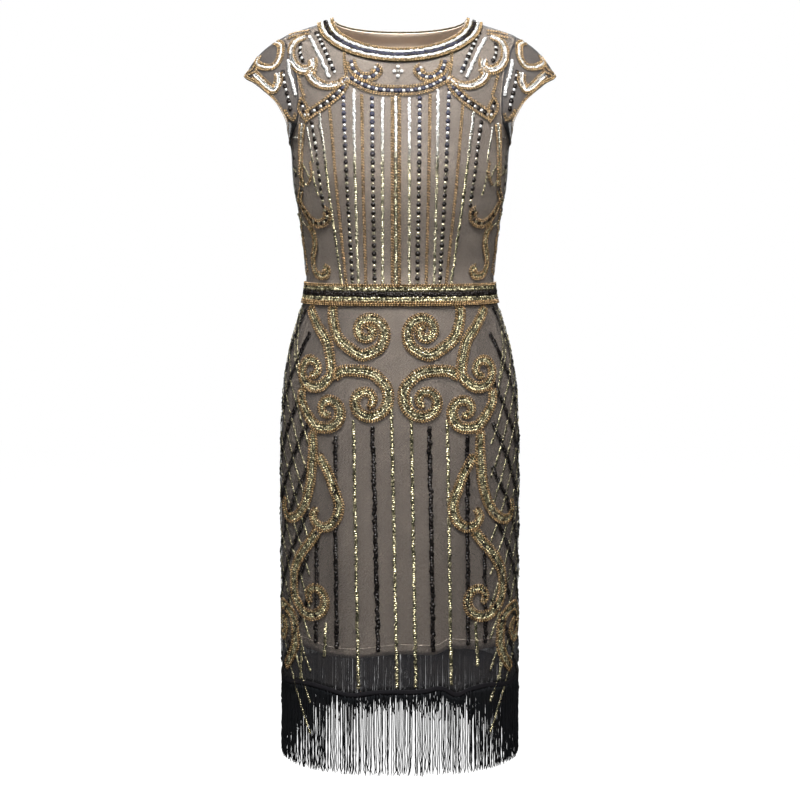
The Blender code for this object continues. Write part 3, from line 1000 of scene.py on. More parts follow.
# %% [markdown]
# ## Sewing on
# A chain stitch holds each sequin on the real net, a little askew, and a rope of beads is
# two strands laid side by side. Instances on a curve would be lighter to work with. Here
# every copy is first noted as a row of numbers, and each panel's rows become one mesh
# later, because the finished model needs real faces. Four stitches do all the work: a
# bead rope, a line of sequins, a dotted line, and a ribbon between two ropes.

# %% Sewing on
work = {}  # piece name: lists of places for its copies


def sew(piece, points, normals, ahead, size, tilt=0.22, tones=None, turned=0.0):
    """Notes copies for a piece. Size is each one's half length, in metres."""
    count = len(points)
    if count == 0:
        return
    tip = chance.normal(0, tilt, (count, 2))
    across = np.cross(normals, ahead)
    up = normals + tip[:, :1] * ahead + tip[:, 1:] * across
    up /= np.linalg.norm(up, axis=1, keepdims=True)
    spin = np.broadcast_to(turned, count)[:, None]
    along = ahead * np.cos(spin) + across * np.sin(spin)
    along -= (along * up).sum(1, keepdims=True) * up
    along /= np.linalg.norm(along, axis=1, keepdims=True)
    if tones is None:
        tones = chance.random(count)
    grown = size * (1 + chance.normal(0, 0.05, count))
    work.setdefault(piece, []).append(
        np.concatenate([points, along, np.cross(up, along), up, grown[:, None],
                        np.asarray(tones)[:, None]], axis=1)
    )


def sewn_piece(name, shape, material):
    """Joins all the copies noted for a piece into one mesh."""
    places, triangles, hub = shape
    rows = np.concatenate(work[name])
    frames = rows[:, 3:12].reshape(-1, 3, 3) * rows[:, 12, None, None]
    points = rows[:, None, :3] + np.einsum("vk,nkc->nvc", places, frames)
    count, corners = len(rows), len(places)
    faces = triangles[None] + (np.arange(count) * corners)[:, None, None]
    mesh = bpy.data.meshes.new(name)
    mesh.vertices.add(count * corners)
    mesh.vertices.foreach_set("co", points.astype(np.float32).ravel())
    mesh.loops.add(faces.size)
    mesh.loops.foreach_set("vertex_index", faces.astype(np.int32).ravel())
    mesh.polygons.add(count * len(triangles))
    mesh.polygons.foreach_set("loop_start", np.arange(0, faces.size, 3, dtype=np.int32))
    mesh.update(calc_edges=True)
    mesh.materials.append(material)
    for key, values in (("tone", np.repeat(rows[:, 13], corners)), ("hub", np.tile(hub, count))):
        mesh.attributes.new(key, "FLOAT", "POINT").data.foreach_set(
            "value", values.astype(np.float32))
    side = math.ceil(math.sqrt(count))
    cell = np.stack([np.arange(count) % side, np.arange(count) // side], axis=1)
    spot = places[:, :2] / (2.4 * np.abs(places[:, :2]).max()) + 0.5
    write_map(mesh, "OFBake", ((cell[:, None] + spot[None]) / side).reshape(-1, 2))
    made = bpy.data.objects.new(name, mesh)
    bpy.context.collection.objects.link(made)
    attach(made, "root")
    return made


SEQUIN_R, SMALL_R, DOT_R, BEAD_R = 2.5 * MM, 2.1 * MM, 3.3 * MM, 1.85 * MM
LIFT = 0.6 * MM  # how far a sequin stands off the net
ROPE_SPREAD = 0.62  # each strand's distance from the middle, in bead lengths
ROPE_LEAN = 0.75  # radians by which its beads turn off the line


def rope(piece, chart, path, size=BEAD_R):
    """Two strands of beads laid against each other, like a twisted cord."""
    for lean in (-1, 1):
        line = beside(chart, path, lean * size * ROPE_SPREAD)
        points, normals, ahead, _ = walk(chart, line, size, LIFT + 0.5 * MM,
                                         0.5 + 0.25 * lean)
        # every other bead takes the darkest tone: painted shade for the grooves between the
        # cord's twists
        unshaded = np.arange(len(points)) % 2
        tones = unshaded * chance.uniform(0.45, 1.0, len(points))
        sew(piece + "_beads", points, normals, ahead, size, 0.16, tones, lean * ROPE_LEAN)


def sequin_line(piece, chart, path, kind="gold", size=SEQUIN_R, pitch=1.2):
    points, normals, ahead, _ = walk(chart, path, size * pitch, LIFT)
    across = np.cross(normals, ahead)
    points = points + across * chance.normal(0, 0.18 * size, (len(points), 1))
    sew(f"{piece}_{kind}", points, normals, ahead, size)


def dot_line(piece, chart, path, pitch=5.6 * MM):
    """Large black sequins with a small light one between each pair."""
    points, normals, ahead, _ = walk(chart, path, pitch, LIFT)
    dark = np.arange(len(points)) % 2 == 0
    sew(f"{piece}_black", points[dark], normals[dark], ahead[dark], DOT_R, 0.12)
    light = ~dark
    sew(f"{piece}_light", points[light], normals[light], ahead[light], SMALL_R, 0.15)


def ribbon(piece, chart, path, half, kind="gold", rows=3):
    """A band filled with rows of sequins between two bead outlines."""
    half = np.broadcast_to(half, len(path))
    for share in np.linspace(-1, 1, rows) * (1 - 1 / rows):
        line = beside(chart, path, half * share * 0.92)
        sequin_line(piece, chart, line, kind, SMALL_R, 1.4)
    for sign in (-1, 1):
        rope(piece, chart, beside(chart, path, half * sign))


print("stitches ready")

# %% [markdown]
# ## The bodice embroidery
# Rows run from the yoke's scallops down to the waist: twin bead ropes at the centre,
# then plain sequins, black dots, a bead rope, and so on out to the sides. They draw in
# towards the waist as the panel does. The back carries the same rows. Each row is one
# line of a table, so a row can be moved without touching the rest. The other half is
# drawn on the chart turned over, which keeps every sequin facing outwards, as a mirrored
# mesh would not.

# %% Bodice rows
CENTRE = -5.5 * MM  # the embroidery sits a little off the centre of the dress
BODICE_ROWS = (
    # kind, distance from the centre at the yoke and at the waist, drops of its ends (mm)
    ("sequins", 18, 18, 116, 368), ("dots", 32, 29, 114, 366), ("rope", 46, 41, 110, 368),
    ("sequins", 57, 52, 104, 368), ("dots", 72, 60, 101, 366), ("rope", 91, 69, 124, 368),
    ("sequins", 107, 76, 133, 368), ("dots", 119, 104, 145, 262),
)


def straight(u0, v0, u1, v1, count=40):
    return np.linspace((u0, v0), (u1, v1), count)


def bodice_rows(chart, piece):
    for kind, top, waist, start, end in BODICE_ROWS:
        path = smooth_path([
            (top * MM, start * MM),
            ((top * 0.55 + waist * 0.45) * MM, (start * 0.5 + end * 0.5) * MM),
            (waist * MM, end * MM),
        ], 30)
        if kind == "sequins":
            sequin_line(piece, chart, path, "light" if top < 100 else "gold", SMALL_R)
        elif kind == "dots":
            dot_line(piece, chart, path)
        else:
            rope(piece, chart, path)


def shifted(chart, by):
    return lambda u, v, off=0.0: chart(np.asarray(u, float) + by, v, off)


def both_ways(draw, chart, piece, centre=0.0):
    draw(shifted(chart, centre), piece)
    draw(shifted(flipped(chart), -centre), piece)


for side in (FRONT, BACK):
    piece = f"bodice_{part_of[side]}"
    chart = round_body(side)
    both_ways(bodice_rows, chart, piece, CENTRE)
    middle = shifted(chart, CENTRE)
    centre_row = straight(0, 114 * MM, 0, 368 * MM)
    sequin_line(piece, middle, centre_row, "light", SMALL_R)
    for sign in (-1, 1):
        rope(piece, middle, beside(middle, centre_row, sign * 4.6 * MM))
print("bodice rows:", {k: sum(map(len, v)) for k, v in work.items()})

# %% [markdown]
# ## The yoke
# Scallops of dotted ribbon hang between the neckband and the rows. Hooks of the same
# ribbon fill the space above them, with straight rows over the shoulders. A curve object
# could carry each motif. A few places in millimetres and one smooth line through them are
# easier to set, and the chart lays that line on the cloth.

# %% Yoke


def dotted_ribbon(piece, chart, path, half=5.6 * MM):
    dot_line(piece, chart, path, 5.2 * MM)
    for sign in (-1, 1):
        rope(piece, chart, beside(chart, path, sign * half))


def yoke_half(chart, piece):
    """One half of the yoke, drawn on the wearer's left."""
    dotted_ribbon(piece, chart, in_mm((0, 106.5), (24, 105), (44, 99.5), (64, 88)))
    dotted_ribbon(piece, chart, in_mm((70, 90), (78, 105), (96, 121), (124, 138)))
    dotted_ribbon(piece, chart, in_mm((64, 64), (60, 77), (49, 87), (35, 87), (27, 79), (33, 73)),
                  4.9 * MM)
    rope(piece, chart, in_mm((73, 52), (72, 68), (69, 88)))
    dot_line(piece, chart, in_mm((113, 21), (99, 50), (85, 82)), 5.0 * MM)
    sequin_line(piece, chart, in_mm((122, 27), (107, 56), (93, 87)), "light", SEQUIN_R)
    crook = in_mm((68, 88), (82, 97), (99, 98), (113, 91), (119, 81), (113, 74))
    ribbon(piece, chart, crook, np.interp(np.linspace(0, 1, len(crook)), (0, 0.8, 1),
                                          (3.0, 5.4, 4.0)) * MM, "light", 2)
    crescent = in_mm((128, 27), (142, 35), (147, 52), (141, 68), (128, 76), (116, 71), (117, 61))
    ribbon(piece, chart, crescent, 4.8 * MM, "light", 2)
    dot_line(piece, chart, in_mm((134, 38), (134, 52), (129, 64)), 4.6 * MM)
    rope(piece, chart, in_mm((136, 82), (132, 98), (127, 112)))
    for low in (18.5, 23.5):
        rope(piece, chart, in_mm((122, low), (138, low + 1.5), (152, low + 5)))
    for sign in (-1, 1):
        rope(piece, chart, in_mm((131, 112), (129 + sign * 6.5, 128), (124, 147)))
    dot_line(piece, chart, in_mm((131, 117), (129, 128), (126, 140)), 5.4 * MM)


def lozenge(chart, piece):
    """Four light sequins round a gold one, over the middle of the scallop."""
    for x, drop, kind in ((0, 73.5, "light"), (-5, 80, "light"), (5, 80, "light"),
                          (0, 86.5, "light"), (0, 80, "gold")):
        spot = np.linspace((x - 0.5, drop), (x + 0.5, drop), 3) * MM
        points, normals, ahead, _ = walk(chart, spot, 1 * MM, LIFT)
        sew(f"{piece}_{kind}", points, normals, ahead, SEQUIN_R, 0.05)


for side in (FRONT, BACK):
    middle = CENTRE / 2 if side == FRONT else 0.0
    lozenge(shifted(straight_on(side), middle), f"yoke_{part_of[side]}")
both_ways(yoke_half, straight_on(FRONT), "yoke_front", CENTRE / 2)
both_ways(yoke_half, straight_on(BACK), "yoke_back", 0.0)
print("yoke:", {k: sum(map(len, v)) for k, v in work.items() if "yoke" in k})

# %% [markdown]
# ## The side scrolls of the bodice
# A gold ribbon drops from each pendant and throws curls towards the front. Black dots
# with short gold dashes across them run down the side seam. The stitches are the yoke's
# own, so the work reads as one hand's.

# %% Bodice sides


def side_scroll(chart, piece):
    """The scroll down one side, drawn straight on."""
    band = in_mm((133, 148), (135, 170), (135.5, 200), (135.5, 232))
    ribbon(piece, chart, band, 4.2 * MM, "gold", 2)
    hook = in_mm((135, 236), (138, 250), (132, 264), (123, 277), (112, 284), (101, 280),
                (98, 270), (104, 265))
    dotted_ribbon(piece, chart, hook, 4.4 * MM)
    lower = in_mm((127, 284), (119, 296), (117, 314), (120, 330), (119, 344), (113, 354),
                 (103, 355), (99, 347), (105, 343))
    ribbon(piece, chart, lower, 3.9 * MM, "gold", 2)
    rope(piece, chart, in_mm((126, 232), (121, 222), (120, 210), (122, 200)))
    rope(piece, chart, in_mm((140, 262), (137, 290), (134, 320), (133, 345), (130, 356)))
    rope(piece, chart, in_mm((134, 300), (131, 330), (128, 352)))
    for knots in (((126, 154), (122, 178), (118, 201)), ((132, 204), (127, 214), (121, 226)),
                  ((118, 212), (116, 228), (111, 246)), ((146, 166), (140, 167)),
                  ((148, 208), (140, 218), (128, 233)), ((144, 270), (136, 281), (126, 290))):
        sequin_line(piece, chart, in_mm(*knots), "gold", SMALL_R * 0.8)


def side_back_rows(chart, piece):
    """Black dots down the side, between the two scrolls."""
    line = in_mm((177, 190), (183, 240), (181, 300), (176, 358))
    dot_line(piece, chart, line, 6.0 * MM)
    for start in (206, 246, 286, 326):
        across = in_mm((168, start), (180, start + 8), (192, start + 4))
        sequin_line(piece, chart, across, "gold", SMALL_R * 0.8)


for side in (FRONT, BACK):
    both_ways(side_scroll, straight_on(side), f"bodice_{part_of[side]}")
    both_ways(side_back_rows, round_body(side), f"bodice_{part_of[side]}")
print("side scrolls done")

# %% [markdown]
# ## The skirt scrolls
# The skirt's great scrolls are ribbons of sequins with bead outlines, wound into spirals.
# A spiral could be drawn through many places by hand, but it would wobble. Here it is a
# formula: a centre, two angles and two radii. A stem leads into each one.

# %% Skirt scrolls


def skirt_scrolls(chart, piece):
    def stroke(stem, spiral=None, half=6.4, rows=3, tip=0.55):
        path = in_mm(*stem)
        if spiral:
            centre, start, end, outer, inner = spiral
            turns = volute(np.array(centre) * MM, start, end, outer * MM, inner * MM)
            joined = np.array([*[tuple(p) for p in np.array(stem) * MM], *turns[2:8:3]])
            path = np.concatenate([smooth_path(joined), turns[9:]])
        share = np.linspace(0, 1, len(path))
        width = half * MM * np.interp(share, (0, 0.25, 0.55, 1), (0.9, 1, 0.98, tip))
        ribbon(piece, chart, path, width, "gold", rows)
        for end in (0, -1):
            lip = [beside(chart, path, width * sign)[end] for sign in (-1, 1)]
            rope(piece, chart, np.linspace(*lip, 8))

    # inner pair below the waistband
    stroke([(90, 396), (89, 416), (79, 441)], ((39, 430), 55, 640, 35, 5))
    stroke([(86, 492), (72, 484)], ((40, 524), 290, -255, 42, 7))
    # outer volute, from the waistband to the hip
    stroke([(133, 399), (114, 424), (98, 446)], ((122, 484), 195, -290, 33, 7))
    # small volute below it
    stroke([(140, 512), (138, 532)], ((96, 538), 28, 480, 32, 6))
    # stem that parts into two branches
    stroke([(120, 570), (119, 588), (120, 606), (124, 642), (134, 672), (152, 692), (172, 696),
            (184, 684), (180, 671)], None, 6.2, 3, 0.6)
    stroke([(110, 602), (97, 622), (86, 648), (79, 670), (84, 690), (98, 702), (113, 699),
            (120, 688), (114, 677)], None, 6.0, 3, 0.6)
    # the lower scroll with its big volute
    stroke([(112, 708), (126, 726), (144, 746), (157, 770)], ((120, 803), -22, 420, 41, 7))
    # the scroll that wraps the side seam
    stroke([(182, 914), (166, 896), (156, 874)], ((194, 856), 190, 640, 40, 8))


for side in (FRONT, BACK):
    both_ways(skirt_scrolls, round_body(side), f"skirt_{part_of[side]}", CENTRE)
print("scrolls:", {k: sum(map(len, v)) for k, v in work.items() if "skirt" in k})

# %% [markdown]
# ## Skirt rows and the side lattice
# Gold and black rows hang between the scrolls. At each side thin gold rows and thick
# black ones cross in long diamonds. The diamonds repeat, so loops lay them: each row is
# the one above it, moved down. The rows between the scrolls don't, so a table lists them.

# %% Skirt rows
SKIRT_ROWS = (
    # kind, distance from the centre at the top and at the foot, drops of its ends (mm)
    ("black", -90, -89, 574, 872), ("gold", -64, -58, 552, 928), ("black", -38, -30, 560, 874),
    ("gold", -12, -4, 520, 926), ("gold", 15, 22, 520, 926), ("black", 40, 46, 560, 874),
    ("gold", 65, 72, 552, 924), ("black", 94, 97, 574, 868), ("gold", -106, -108, 838, 886),
    ("gold", 108, 112, 838, 900), ("gold", -148, -150, 880, 926), ("gold", 152, 150, 880, 926),
    ("black", -119, -122, 710, 868), ("black", 121, 124, 716, 868),
)


def skirt_rows(chart, piece):
    for kind, top, foot, start, end in SKIRT_ROWS:
        path = straight(top * MM, start * MM, foot * MM, end * MM)
        size = DOT_R if kind == "black" else SEQUIN_R
        sequin_line(piece, chart, path, kind, size, 1.05 if kind == "black" else 1.2)


LATTICE_TOP = 0.398  # the rows start just under the waistband


def lattice(chart, piece):
    """Long diamonds down one side: thin gold rows crossed by thick black ones."""
    for k in range(11):
        top = 352 + 46 * k
        path = in_mm((237, top), (182, top + 82), (132, top + 190))
        path = path[path[:, 1] > LATTICE_TOP]
        sequin_line(piece, chart, path, "gold", SMALL_R * 0.85, 1.3)
    for k in range(8):
        top = 372 + 62 * k
        path = in_mm((134, top), (182, top + 82), (237, top + 178))
        path = path[path[:, 1] > LATTICE_TOP]
        sequin_line(piece, chart, path, "black", DOT_R, 1.1)
    sequin_line(piece, chart, straight(176 * MM, 399 * MM, 148 * MM, 500 * MM), "gold",
                SMALL_R * 0.85)


for side in (FRONT, BACK):
    piece = f"skirt_{part_of[side]}"
    skirt_rows(round_body(side), piece)
    both_ways(lattice, round_body(side), piece)
print("rows done")

# %% [markdown]
# ## Sleeve embroidery
# Each cap has an S-shaped hook, a light ribbon along its hem and rows that fan out. The
# same strokes serve the front and the back of both caps, read on the cap's own chart, so
# they bend with its crown.

# %% Sleeve embroidery
for mirrored, name in ((False, "left"), (True, "right")):
    chart = sleeve_chart(mirrored)
    piece = f"sleeve_{name}"
    for back in (False, True):

        def path(*knots):
            return smooth_path([(1 - r if back else r, out) for r, out in knots])

        hook = path((0.020, 0.14), (0.055, 0.10), (0.100, 0.22), (0.118, 0.42), (0.096, 0.60),
                    (0.052, 0.64), (0.032, 0.52))
        ribbon(piece, chart, hook, 3.6 * MM, "light", 1)
        for start in (0.052, 0.075):
            rope(piece, chart, path((start, 0.70), (start + 0.005, 0.80), (start - 0.02, 0.93)))
        hem = path((0.085, 0.84), (0.125, 0.86), (0.162, 0.85), (0.180, 0.72), (0.165, 0.48),
                   (0.142, 0.38))
        ribbon(piece, chart, hem, 4.4 * MM, "light", 2)
        sequin_line(piece, chart, path((0.118, 0.10), (0.150, 0.14), (0.180, 0.12),
                                       (0.212, 0.09)), "light")
        dot_line(piece, chart, path((0.140, 0.26), (0.178, 0.34), (0.215, 0.36), (0.255, 0.40)),
                 5.4 * MM)
        rope(piece, chart, path((0.250, 0.75), (0.275, 0.60), (0.285, 0.30), (0.262, 0.15)))
    round_ = np.linspace(0, 1, 200)
    rope(piece, chart, np.stack([round_, np.full(200, 0.975)], axis=1), 1.6 * MM)
print("sleeve work:", {k: sum(map(len, v)) for k, v in work.items() if "sleeve" in k})

# %% [markdown]
# ## Neckband and waistband
# Both are narrow bands covered edge to edge with rows of sequins, between bead ropes.
# Under them is a dark woven ground, a thin ring on the net. The ground could be a torus
# pressed flat. It is a closed ring on a chart of its own, because it has to follow both
# the curve of the neck and the creases at the waist.

# %% Bands
NECK_EDGE_OFF, WAIST_OFF = 1.6 * MM, 1.5 * MM
NECKBAND_SIDE, NECKBAND_CENTRE = 22.0 * MM, 19.0 * MM  # its width at each
WAIST_RISE = 1.6 * MM  # the waistband sits this much above its solid's middle


def neck_chart(turn, across, off=0.0):
    """A chart of the neckband: turn round the neck, and share out from its edge."""
    turn, across = np.broadcast_arrays(np.asarray(turn, float), np.asarray(across, float))
    front = np.cos(turn) >= 0
    side_x = NECK_HALF_WIDTH + NECKBAND_SIDE * across
    side_drop = outline_drop(side_x)
    centre = np.where(front, FRONT_NECK, BACK_NECK) + NECKBAND_CENTRE * across
    drop = side_drop + (centre - side_drop) * np.abs(np.cos(turn))
    x = side_x * np.sin(turn)
    turn_front = turn_across(x, drop, FRONT)
    turn_back = turn_across(x, drop, BACK)
    return body(np.where(front, turn_front, turn_back), drop, off + NECK_EDGE_OFF)


def waist_chart(turn, drop, off=0.0):
    return body(turn, drop - WAIST_RISE, off + WAIST_OFF)


def face_outwards(closed):
    """Turns every face of a closed form to point out of it."""
    bpy.context.view_layer.objects.active = closed
    closed.select_set(True)
    bpy.ops.object.mode_set(mode="EDIT")
    bpy.ops.mesh.select_all(action="SELECT")
    bpy.ops.mesh.normals_make_consistent(inside=False)
    bpy.ops.object.mode_set(mode="OBJECT")
    closed.select_set(False)


def band_ground(name, chart, crosswise, node_name):
    turn = np.linspace(0, math.tau, 181)[:-1]
    outer = chart(turn[None], crosswise[:, None], 0.0)[0]
    inner = chart(turn[None], crosswise[:, None], -1.2 * MM)[0][::-1]
    points = np.concatenate([outer, inner])
    rows, columns = points.shape[:2]
    faces = grid_faces(rows, columns, True)
    last = (rows - 1) * columns
    faces += [(last + j, last + (j + 1) % columns, (j + 1) % columns, j) for j in range(columns)]
    band = make_mesh(name, points, faces, BAND_GROUND)
    face_outwards(band)
    flat = np.stack(np.broadcast_arrays(turn[None] * 0.12, np.arange(rows)[:, None] * 0.005), -1)
    write_map(band.data, "cloth", flat.reshape(-1, 2))
    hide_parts(node_name)
    return band


round_once = np.linspace(0, math.tau, 721)


def ring_row(across):
    return np.stack([round_once, np.full(len(round_once), across)], axis=1)


neck_ground = band_ground("neckband_ground", neck_chart, np.linspace(0, 1, 5), "neckband")
for across, kind, size in ((0.27, "light", SMALL_R), (0.49, "black", SEQUIN_R * 1.2),
                           (0.71, "light", SMALL_R)):
    sequin_line("neckband", neck_chart, ring_row(across), kind, size, 1.1)
for across in (0.09, 0.91):
    rope("neckband", neck_chart, ring_row(across))

waist_ground = band_ground(
    "waistband_ground", waist_chart, np.linspace(BAND_TOP, BAND_FOOT, 5), "waistband"
)
for share, kind, size in ((0.16, "gold", SMALL_R), (0.27, "gold", SMALL_R),
                          (0.42, "black", SEQUIN_R), (0.52, "black", SEQUIN_R),
                          (0.67, "gold", SMALL_R), (0.78, "gold", SMALL_R)):
    drop = BAND_TOP + share * (BAND_FOOT - BAND_TOP)
    sequin_line("waistband", waist_chart, ring_row(drop), kind, size, 1.2)
for share in (0.05, 0.88, 0.96):
    drop = BAND_TOP + share * (BAND_FOOT - BAND_TOP)
    rope("waistband", waist_chart, ring_row(drop))
print("bands:", {k: sum(map(len, v)) for k, v in work.items() if "band" in k})

# %% [markdown]
# ## Making the sewn pieces
# All the copies of one kind on one panel become one mesh, in the finish of that kind. One
# mesh for each copy would be thousands of objects, and one for the whole dress would be
# too heavy to handle.

# %% Make the sewn pieces
FINISH = {"gold": GOLD_SEQUIN, "light": CLEAR_SEQUIN, "black": BLACK_SEQUIN}
triangles = 0
sewn = {}
for name in sorted(work):
    kind = name.rsplit("_", 1)[1]
    shape = BEAD if kind == "beads" else SEQUIN
    material = COPPER_BEAD if kind == "beads" else FINISH[kind]
    made = sewn_piece(name, shape, material)
    sewn[name] = made
    triangles += len(made.data.polygons)
print("sewn pieces:", len(work), "triangles:", triangles)

# %% [markdown]
# ## The fringe
# A braid binds the net's hem and several hundred twisted cords hang from it. They start
# straight and kink lower down, where they have caught on each other, and end in small
# hooks. They crowd at the sides and part at the centre. Hair curves could be used, but
# they don't leave Blender as faces, so each cord is a thin tube with three sides. A ring
# like the braid's, but much thinner, is also the stitching above the slip's hem.

# %% Braid


def ring_cord(name, line, tall, thick, ridge, off, material, sides=10):
    """A cord all round the skirt along a line of drops."""
    turn = np.linspace(0, math.tau, 361)[:-1]
    rings = []
    for angle in np.linspace(0, math.tau, sides + 1)[:-1]:
        drop = line(turn) - tall * math.cos(angle)
        bumps = ridge * np.sin(turn * 180 + angle)
        rings.append(body(turn, drop, off + thick * math.sin(angle) + bumps)[0])
    points = np.array([*rings, rings[0]])
    rows, columns = points.shape[:2]
    made = make_mesh(name, points[:-1], [
        (i * columns + j, i * columns + (j + 1) % columns,
         (i + 1) % (rows - 1) * columns + (j + 1) % columns, (i + 1) % (rows - 1) * columns + j)
        for i in range(rows - 1) for j in range(columns)
    ], material)
    face_outwards(made)
    flat = np.broadcast_arrays(turn[None] * 0.16, np.arange(rows - 1)[:, None] * 0.001)
    write_map(made.data, "cloth", np.stack(flat, -1).reshape(-1, 2))
    return made


def braid_line(turn):
    return NET_HEM + hem_wave(turn, NET_WAVES) + 3.6 * MM


def stitch_line(turn):
    return SLIP_HEM + hem_wave(turn, SLIP_WAVES) - 13.5 * MM


fringe_braid = ring_cord("fringe_braid", braid_line, 3.9 * MM, 1.3 * MM, 0.35 * MM, 0.0, BRAID)
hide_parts("fringe_heading")
slip_stitch = ring_cord("slip_stitch", stitch_line, 0.6 * MM, 0.35 * MM, 0.0,
                        SLIP_IN + 0.25 * MM, STITCH, 6)
print("braid faces:", len(fringe_braid.data.polygons))

# %% Cords
CORD_R = 0.80 * MM
CORD_STEPS = 17
CORD_SHARE = np.linspace(0, 1, CORD_STEPS)  # how far down a cord each step is
CROWDING = (
    # distance round from the centre front in mm, cords for each millimetre
    (0, 0.44), (58, 0.42), (66, 0.66), (80, 0.62), (88, 0.40), (100, 0.48), (112, 0.80),
    (190, 0.78), (240, 0.88), (300, 0.92), (480, 0.94),
)


def cord_places():
    """Where the cords hang, as distances round from the centre front."""
    reach = half_girth(FRINGE_TAPE)
    s = np.linspace(-reach, reach, 6001)
    table = np.array(CROWDING)
    per_metre = np.interp(np.abs(s), table[:, 0] * MM, table[:, 1]) * 1000
    total = (per_metre * (s[1] - s[0])).cumsum()
    at = np.arange(int(total[-1])) + chance.uniform(-0.30, 0.30, int(total[-1]))
    return np.interp(at, total, s)


def cord_lines(around):
    """Each cord's points from the braid to its tip, normals, and lengths so far."""
    count = len(around)
    turn = turn_round(FRONT, around, np.full(count, NET_HEM))
    top = NET_HEM + hem_wave(turn, NET_WAVES) + 4.5 * MM
    behind = np.clip((np.abs(turn) - 1.7) / 0.6, 0, 1)
    tip = FRINGE_TIP - 2 * MM - np.abs(chance.normal(0, 3.5 * MM, count))
    tip -= behind * chance.uniform(0, 40 * MM, count)
    low = CORD_SHARE**1.6
    drop = top[:, None] + (tip - top)[:, None] * CORD_SHARE
    wander = chance.normal(0, 1.0, (count, CORD_STEPS)).cumsum(axis=1)
    wander -= wander[:, :1]
    drift = chance.normal(0, 0.9 * MM, (count, 1)) * CORD_SHARE
    kinks = chance.normal(0, 0.55 * MM, (count, CORD_STEPS)) * low
    sideways = wander * 0.16 * MM * low + drift + kinks
    sideways[:, -1] += chance.choice([-1, 1], count) * chance.uniform(0.6, 2.2, count) * MM
    out = chance.normal(0, 0.5 * MM, (count, CORD_STEPS)) * low
    out += chance.uniform(-1.4, 0.6, (count, 1)) * MM * (0.4 + 0.6 * CORD_SHARE)
    across = (around[:, None] + sideways).ravel()
    place, normal = round_body(FRONT)(across, drop.ravel(), out.ravel())
    return place.reshape(count, -1, 3), normal.reshape(count, -1, 3), drop - top[:, None]


def cord_tubes(place, normal):
    """Three corners round every point of every cord, thicker where it is knotted in."""
    ahead = np.gradient(place, axis=1)
    ahead /= np.linalg.norm(ahead, axis=2, keepdims=True)
    across = np.cross(normal, ahead)
    across /= np.linalg.norm(across, axis=2, keepdims=True)
    face = np.cross(ahead, across)
    radius = CORD_R * np.interp(CORD_SHARE, (0, 0.06, 0.12, 0.95, 1), (1.7, 1.5, 1, 1, 0.6))
    radius = radius * chance.uniform(0.85, 1.2, (len(place), 1))
    corners = []
    for angle in (0.3, 0.3 + math.tau / 3, 0.3 + 2 * math.tau / 3):
        corners.append(place + radius[..., None] * (
            across * math.cos(angle) + face * math.sin(angle)))
    return np.stack(corners, axis=2)  # cord, step, corner


def cord_faces(count):
    """The sides and the two ends of every cord."""
    one = np.arange(CORD_STEPS * 3).reshape(CORD_STEPS, 3)
    faces = []
    for i in range(CORD_STEPS - 1):
        for j in range(3):
            k = (j + 1) % 3
            faces.append((one[i, j], one[i, k], one[i + 1, k], one[i + 1, j]))
    first = (np.arange(count) * CORD_STEPS * 3)[:, None, None]
    sides = (np.array(faces)[None] + first).reshape(-1, 4)
    ends = (np.array([one[0][::-1], one[-1]])[None] + first).reshape(-1, 3)
    return sides.tolist() + ends.tolist()


def fringe():
    """All the cords as one mesh, and how many there are."""
    around = cord_places()
    place, normal, length = cord_lines(around)
    points = cord_tubes(place, normal)
    made = make_mesh("fringe_cords", points, cord_faces(len(around)), FRINGE_CORD)
    long = length[:, :, None] + np.zeros(3)
    flat = np.stack([np.broadcast_to(np.arange(3) * math.tau / 3, long.shape), long], -1)
    write_map(made.data, "cloth", flat.reshape(-1, 2))
    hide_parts("fringe")
    return made, len(around)


fringe_cords, cord_count = fringe()
print("cords:", cord_count, "faces:", len(fringe_cords.data.polygons))

# %% [markdown]
# ## What each sheet was cut to
# A real panel is cut flat before it is sewn. A table lists each panel's flat width,
# length and area, and the pieces lying on each panel and sleeve are gathered, though
# neither is kept or used further here.

# %% Sheets
SHEETS = {
    # panel: width, length and area in metres
    "bodice_front": (0.457, 0.438, 0.141), "bodice_back": (0.430, 0.445, 0.1435),
    "skirt_front": (0.474, 0.550, 0.2513), "skirt_back": (0.482, 0.551, 0.2549),
    "slip_front": (0.474, 0.940, 0.365), "slip_back": (0.482, 0.945, 0.370),
}
for key, (width, length, area) in SHEETS.items():
    on_it = [piece for name, piece in sewn.items() if name.startswith(key)]
    if key == "skirt_front":
        on_it += [fringe_braid, fringe_cords]
    if key == "slip_front":
        on_it += [slip_stitch]
    if key.startswith("bodice"):
        on_it += [piece for name, piece in sewn.items()
                  if name.startswith("yoke_" + key.split("_")[1])]
for name, sleeve in sleeves.items():
    on_it = [piece for key, piece in sewn.items() if key.startswith(f"sleeve_{name}")]

# %% [markdown]
# ## Light and floor
# A broad soft panel above and in front lights whatever slopes upwards, such as the chest
# and the hips. Two weaker ones stand at the sides, and a faint one in front opens the
# shadows. One behind the dress lights its back. The room is plain white to the eye and
# dim as a light, so that it doesn't wash the black thread out. The floor is dark to the
# cloth for the same reason, and glows only towards the eye. A lit white floor would be
# simpler, but its glare would grey the fringe.

# %% Studio


def panel_light(name, place, target, width, height, power):
    data = bpy.data.lights.new(name, "AREA")
    data.shape, data.size, data.size_y, data.energy = "RECTANGLE", width, height, power
    light = bpy.data.objects.new(name, data)
    bpy.context.collection.objects.link(light)
    light.location = place
    aim = type(light.location)(target) - light.location
    light.rotation_euler = aim.to_track_quat("-Z", "Y").to_euler()


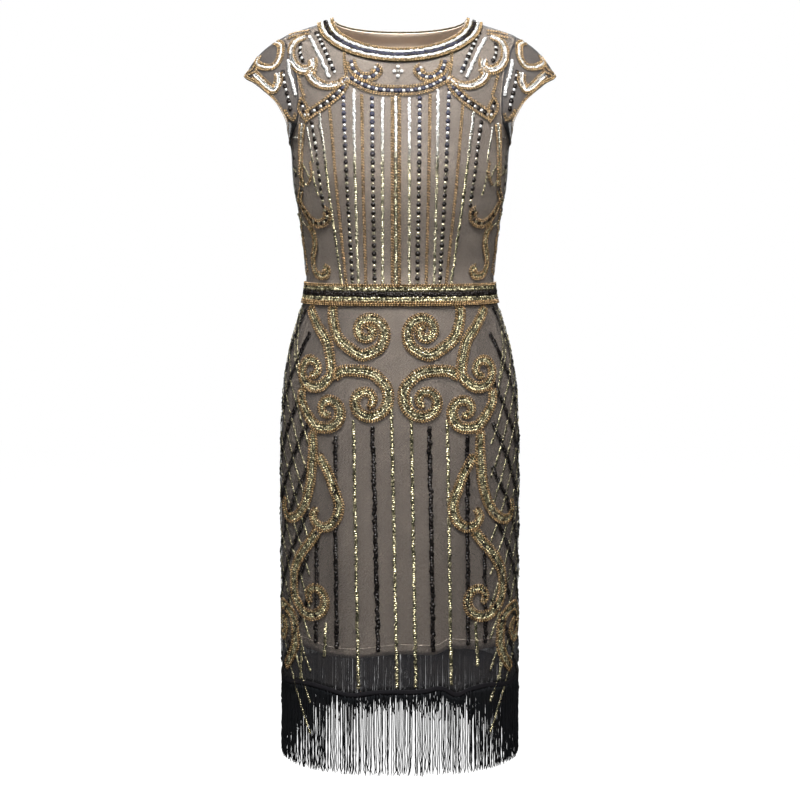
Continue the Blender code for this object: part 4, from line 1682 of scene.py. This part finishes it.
panel_light("key", (0.0, -1.1, 1.2), (0, -0.1, -0.35), 1.5, 0.7, 152)
panel_light("left", (-2.2, -1.6, 0.2), (0, 0, -0.5), 0.8, 1.8, 20)
panel_light("right", (2.2, -1.6, 0.2), (0, 0, -0.5), 0.8, 1.8, 20)
panel_light("front", (0.0, -2.6, 0.2), (0, 0, -0.4), 1.4, 1.4, 12)
panel_light("behind", (0.0, 2.3, 0.7), (0, 0, -0.5), 1.8, 1.6, 95)

world = bpy.data.worlds.new("room")
bpy.context.scene.world = world
world.use_nodes = True
tree = world.node_tree
tree.nodes.clear()
seen = node(tree, "ShaderNodeBackground", {"Color": (1, 1, 1, 1), "Strength": 1.0})
lit = node(tree, "ShaderNodeBackground", {"Color": (1.0, 0.99, 0.98, 1), "Strength": 0.09})
path_kind = node(tree, "ShaderNodeLightPath").outputs["Is Camera Ray"]
choose = node(tree, "ShaderNodeMixShader", {0: path_kind, 1: lit.outputs[0], 2: seen.outputs[0]})
node(tree, "ShaderNodeOutputWorld", {0: choose.outputs[0]})

FLOOR_HALF, FLOOR_Z = 6, -1.45
floor_corners = [(x * FLOOR_HALF, y * FLOOR_HALF, FLOOR_Z)
                 for x, y in ((-1, -1), (1, -1), (1, 1), (-1, 1))]
floor = make_mesh("floor", floor_corners, [(0, 1, 2, 3)], bpy.data.materials.new("floor"),
                  False)
print("studio ready")

# %% Floor finish
floor_material = floor.data.materials[0]
floor_material.use_nodes = True
floor_tree = floor_material.node_tree
floor_shader = floor_tree.nodes["Principled BSDF"]
floor_colour = placed(floor_tree, MOTTLE, Colour=(0.07, 0.07, 0.07, 1),
                      Other=(0.06, 0.06, 0.06, 1), Size=2.0)
floor_tree.links.new(floor_colour["Colour"], floor_shader.inputs["Base Color"])
floor_shader.inputs["Roughness"].default_value = 0.9
floor_shader.inputs["Emission Color"].default_value = (1, 1, 1, 1)
seen_by_camera = node(floor_tree, "ShaderNodeLightPath").outputs["Is Camera Ray"]
glow = maths(floor_tree, "MULTIPLY", seen_by_camera, 0.98)
floor_tree.links.new(glow, floor_shader.inputs["Emission Strength"])
bpy.context.scene.view_settings.view_transform = "Standard"
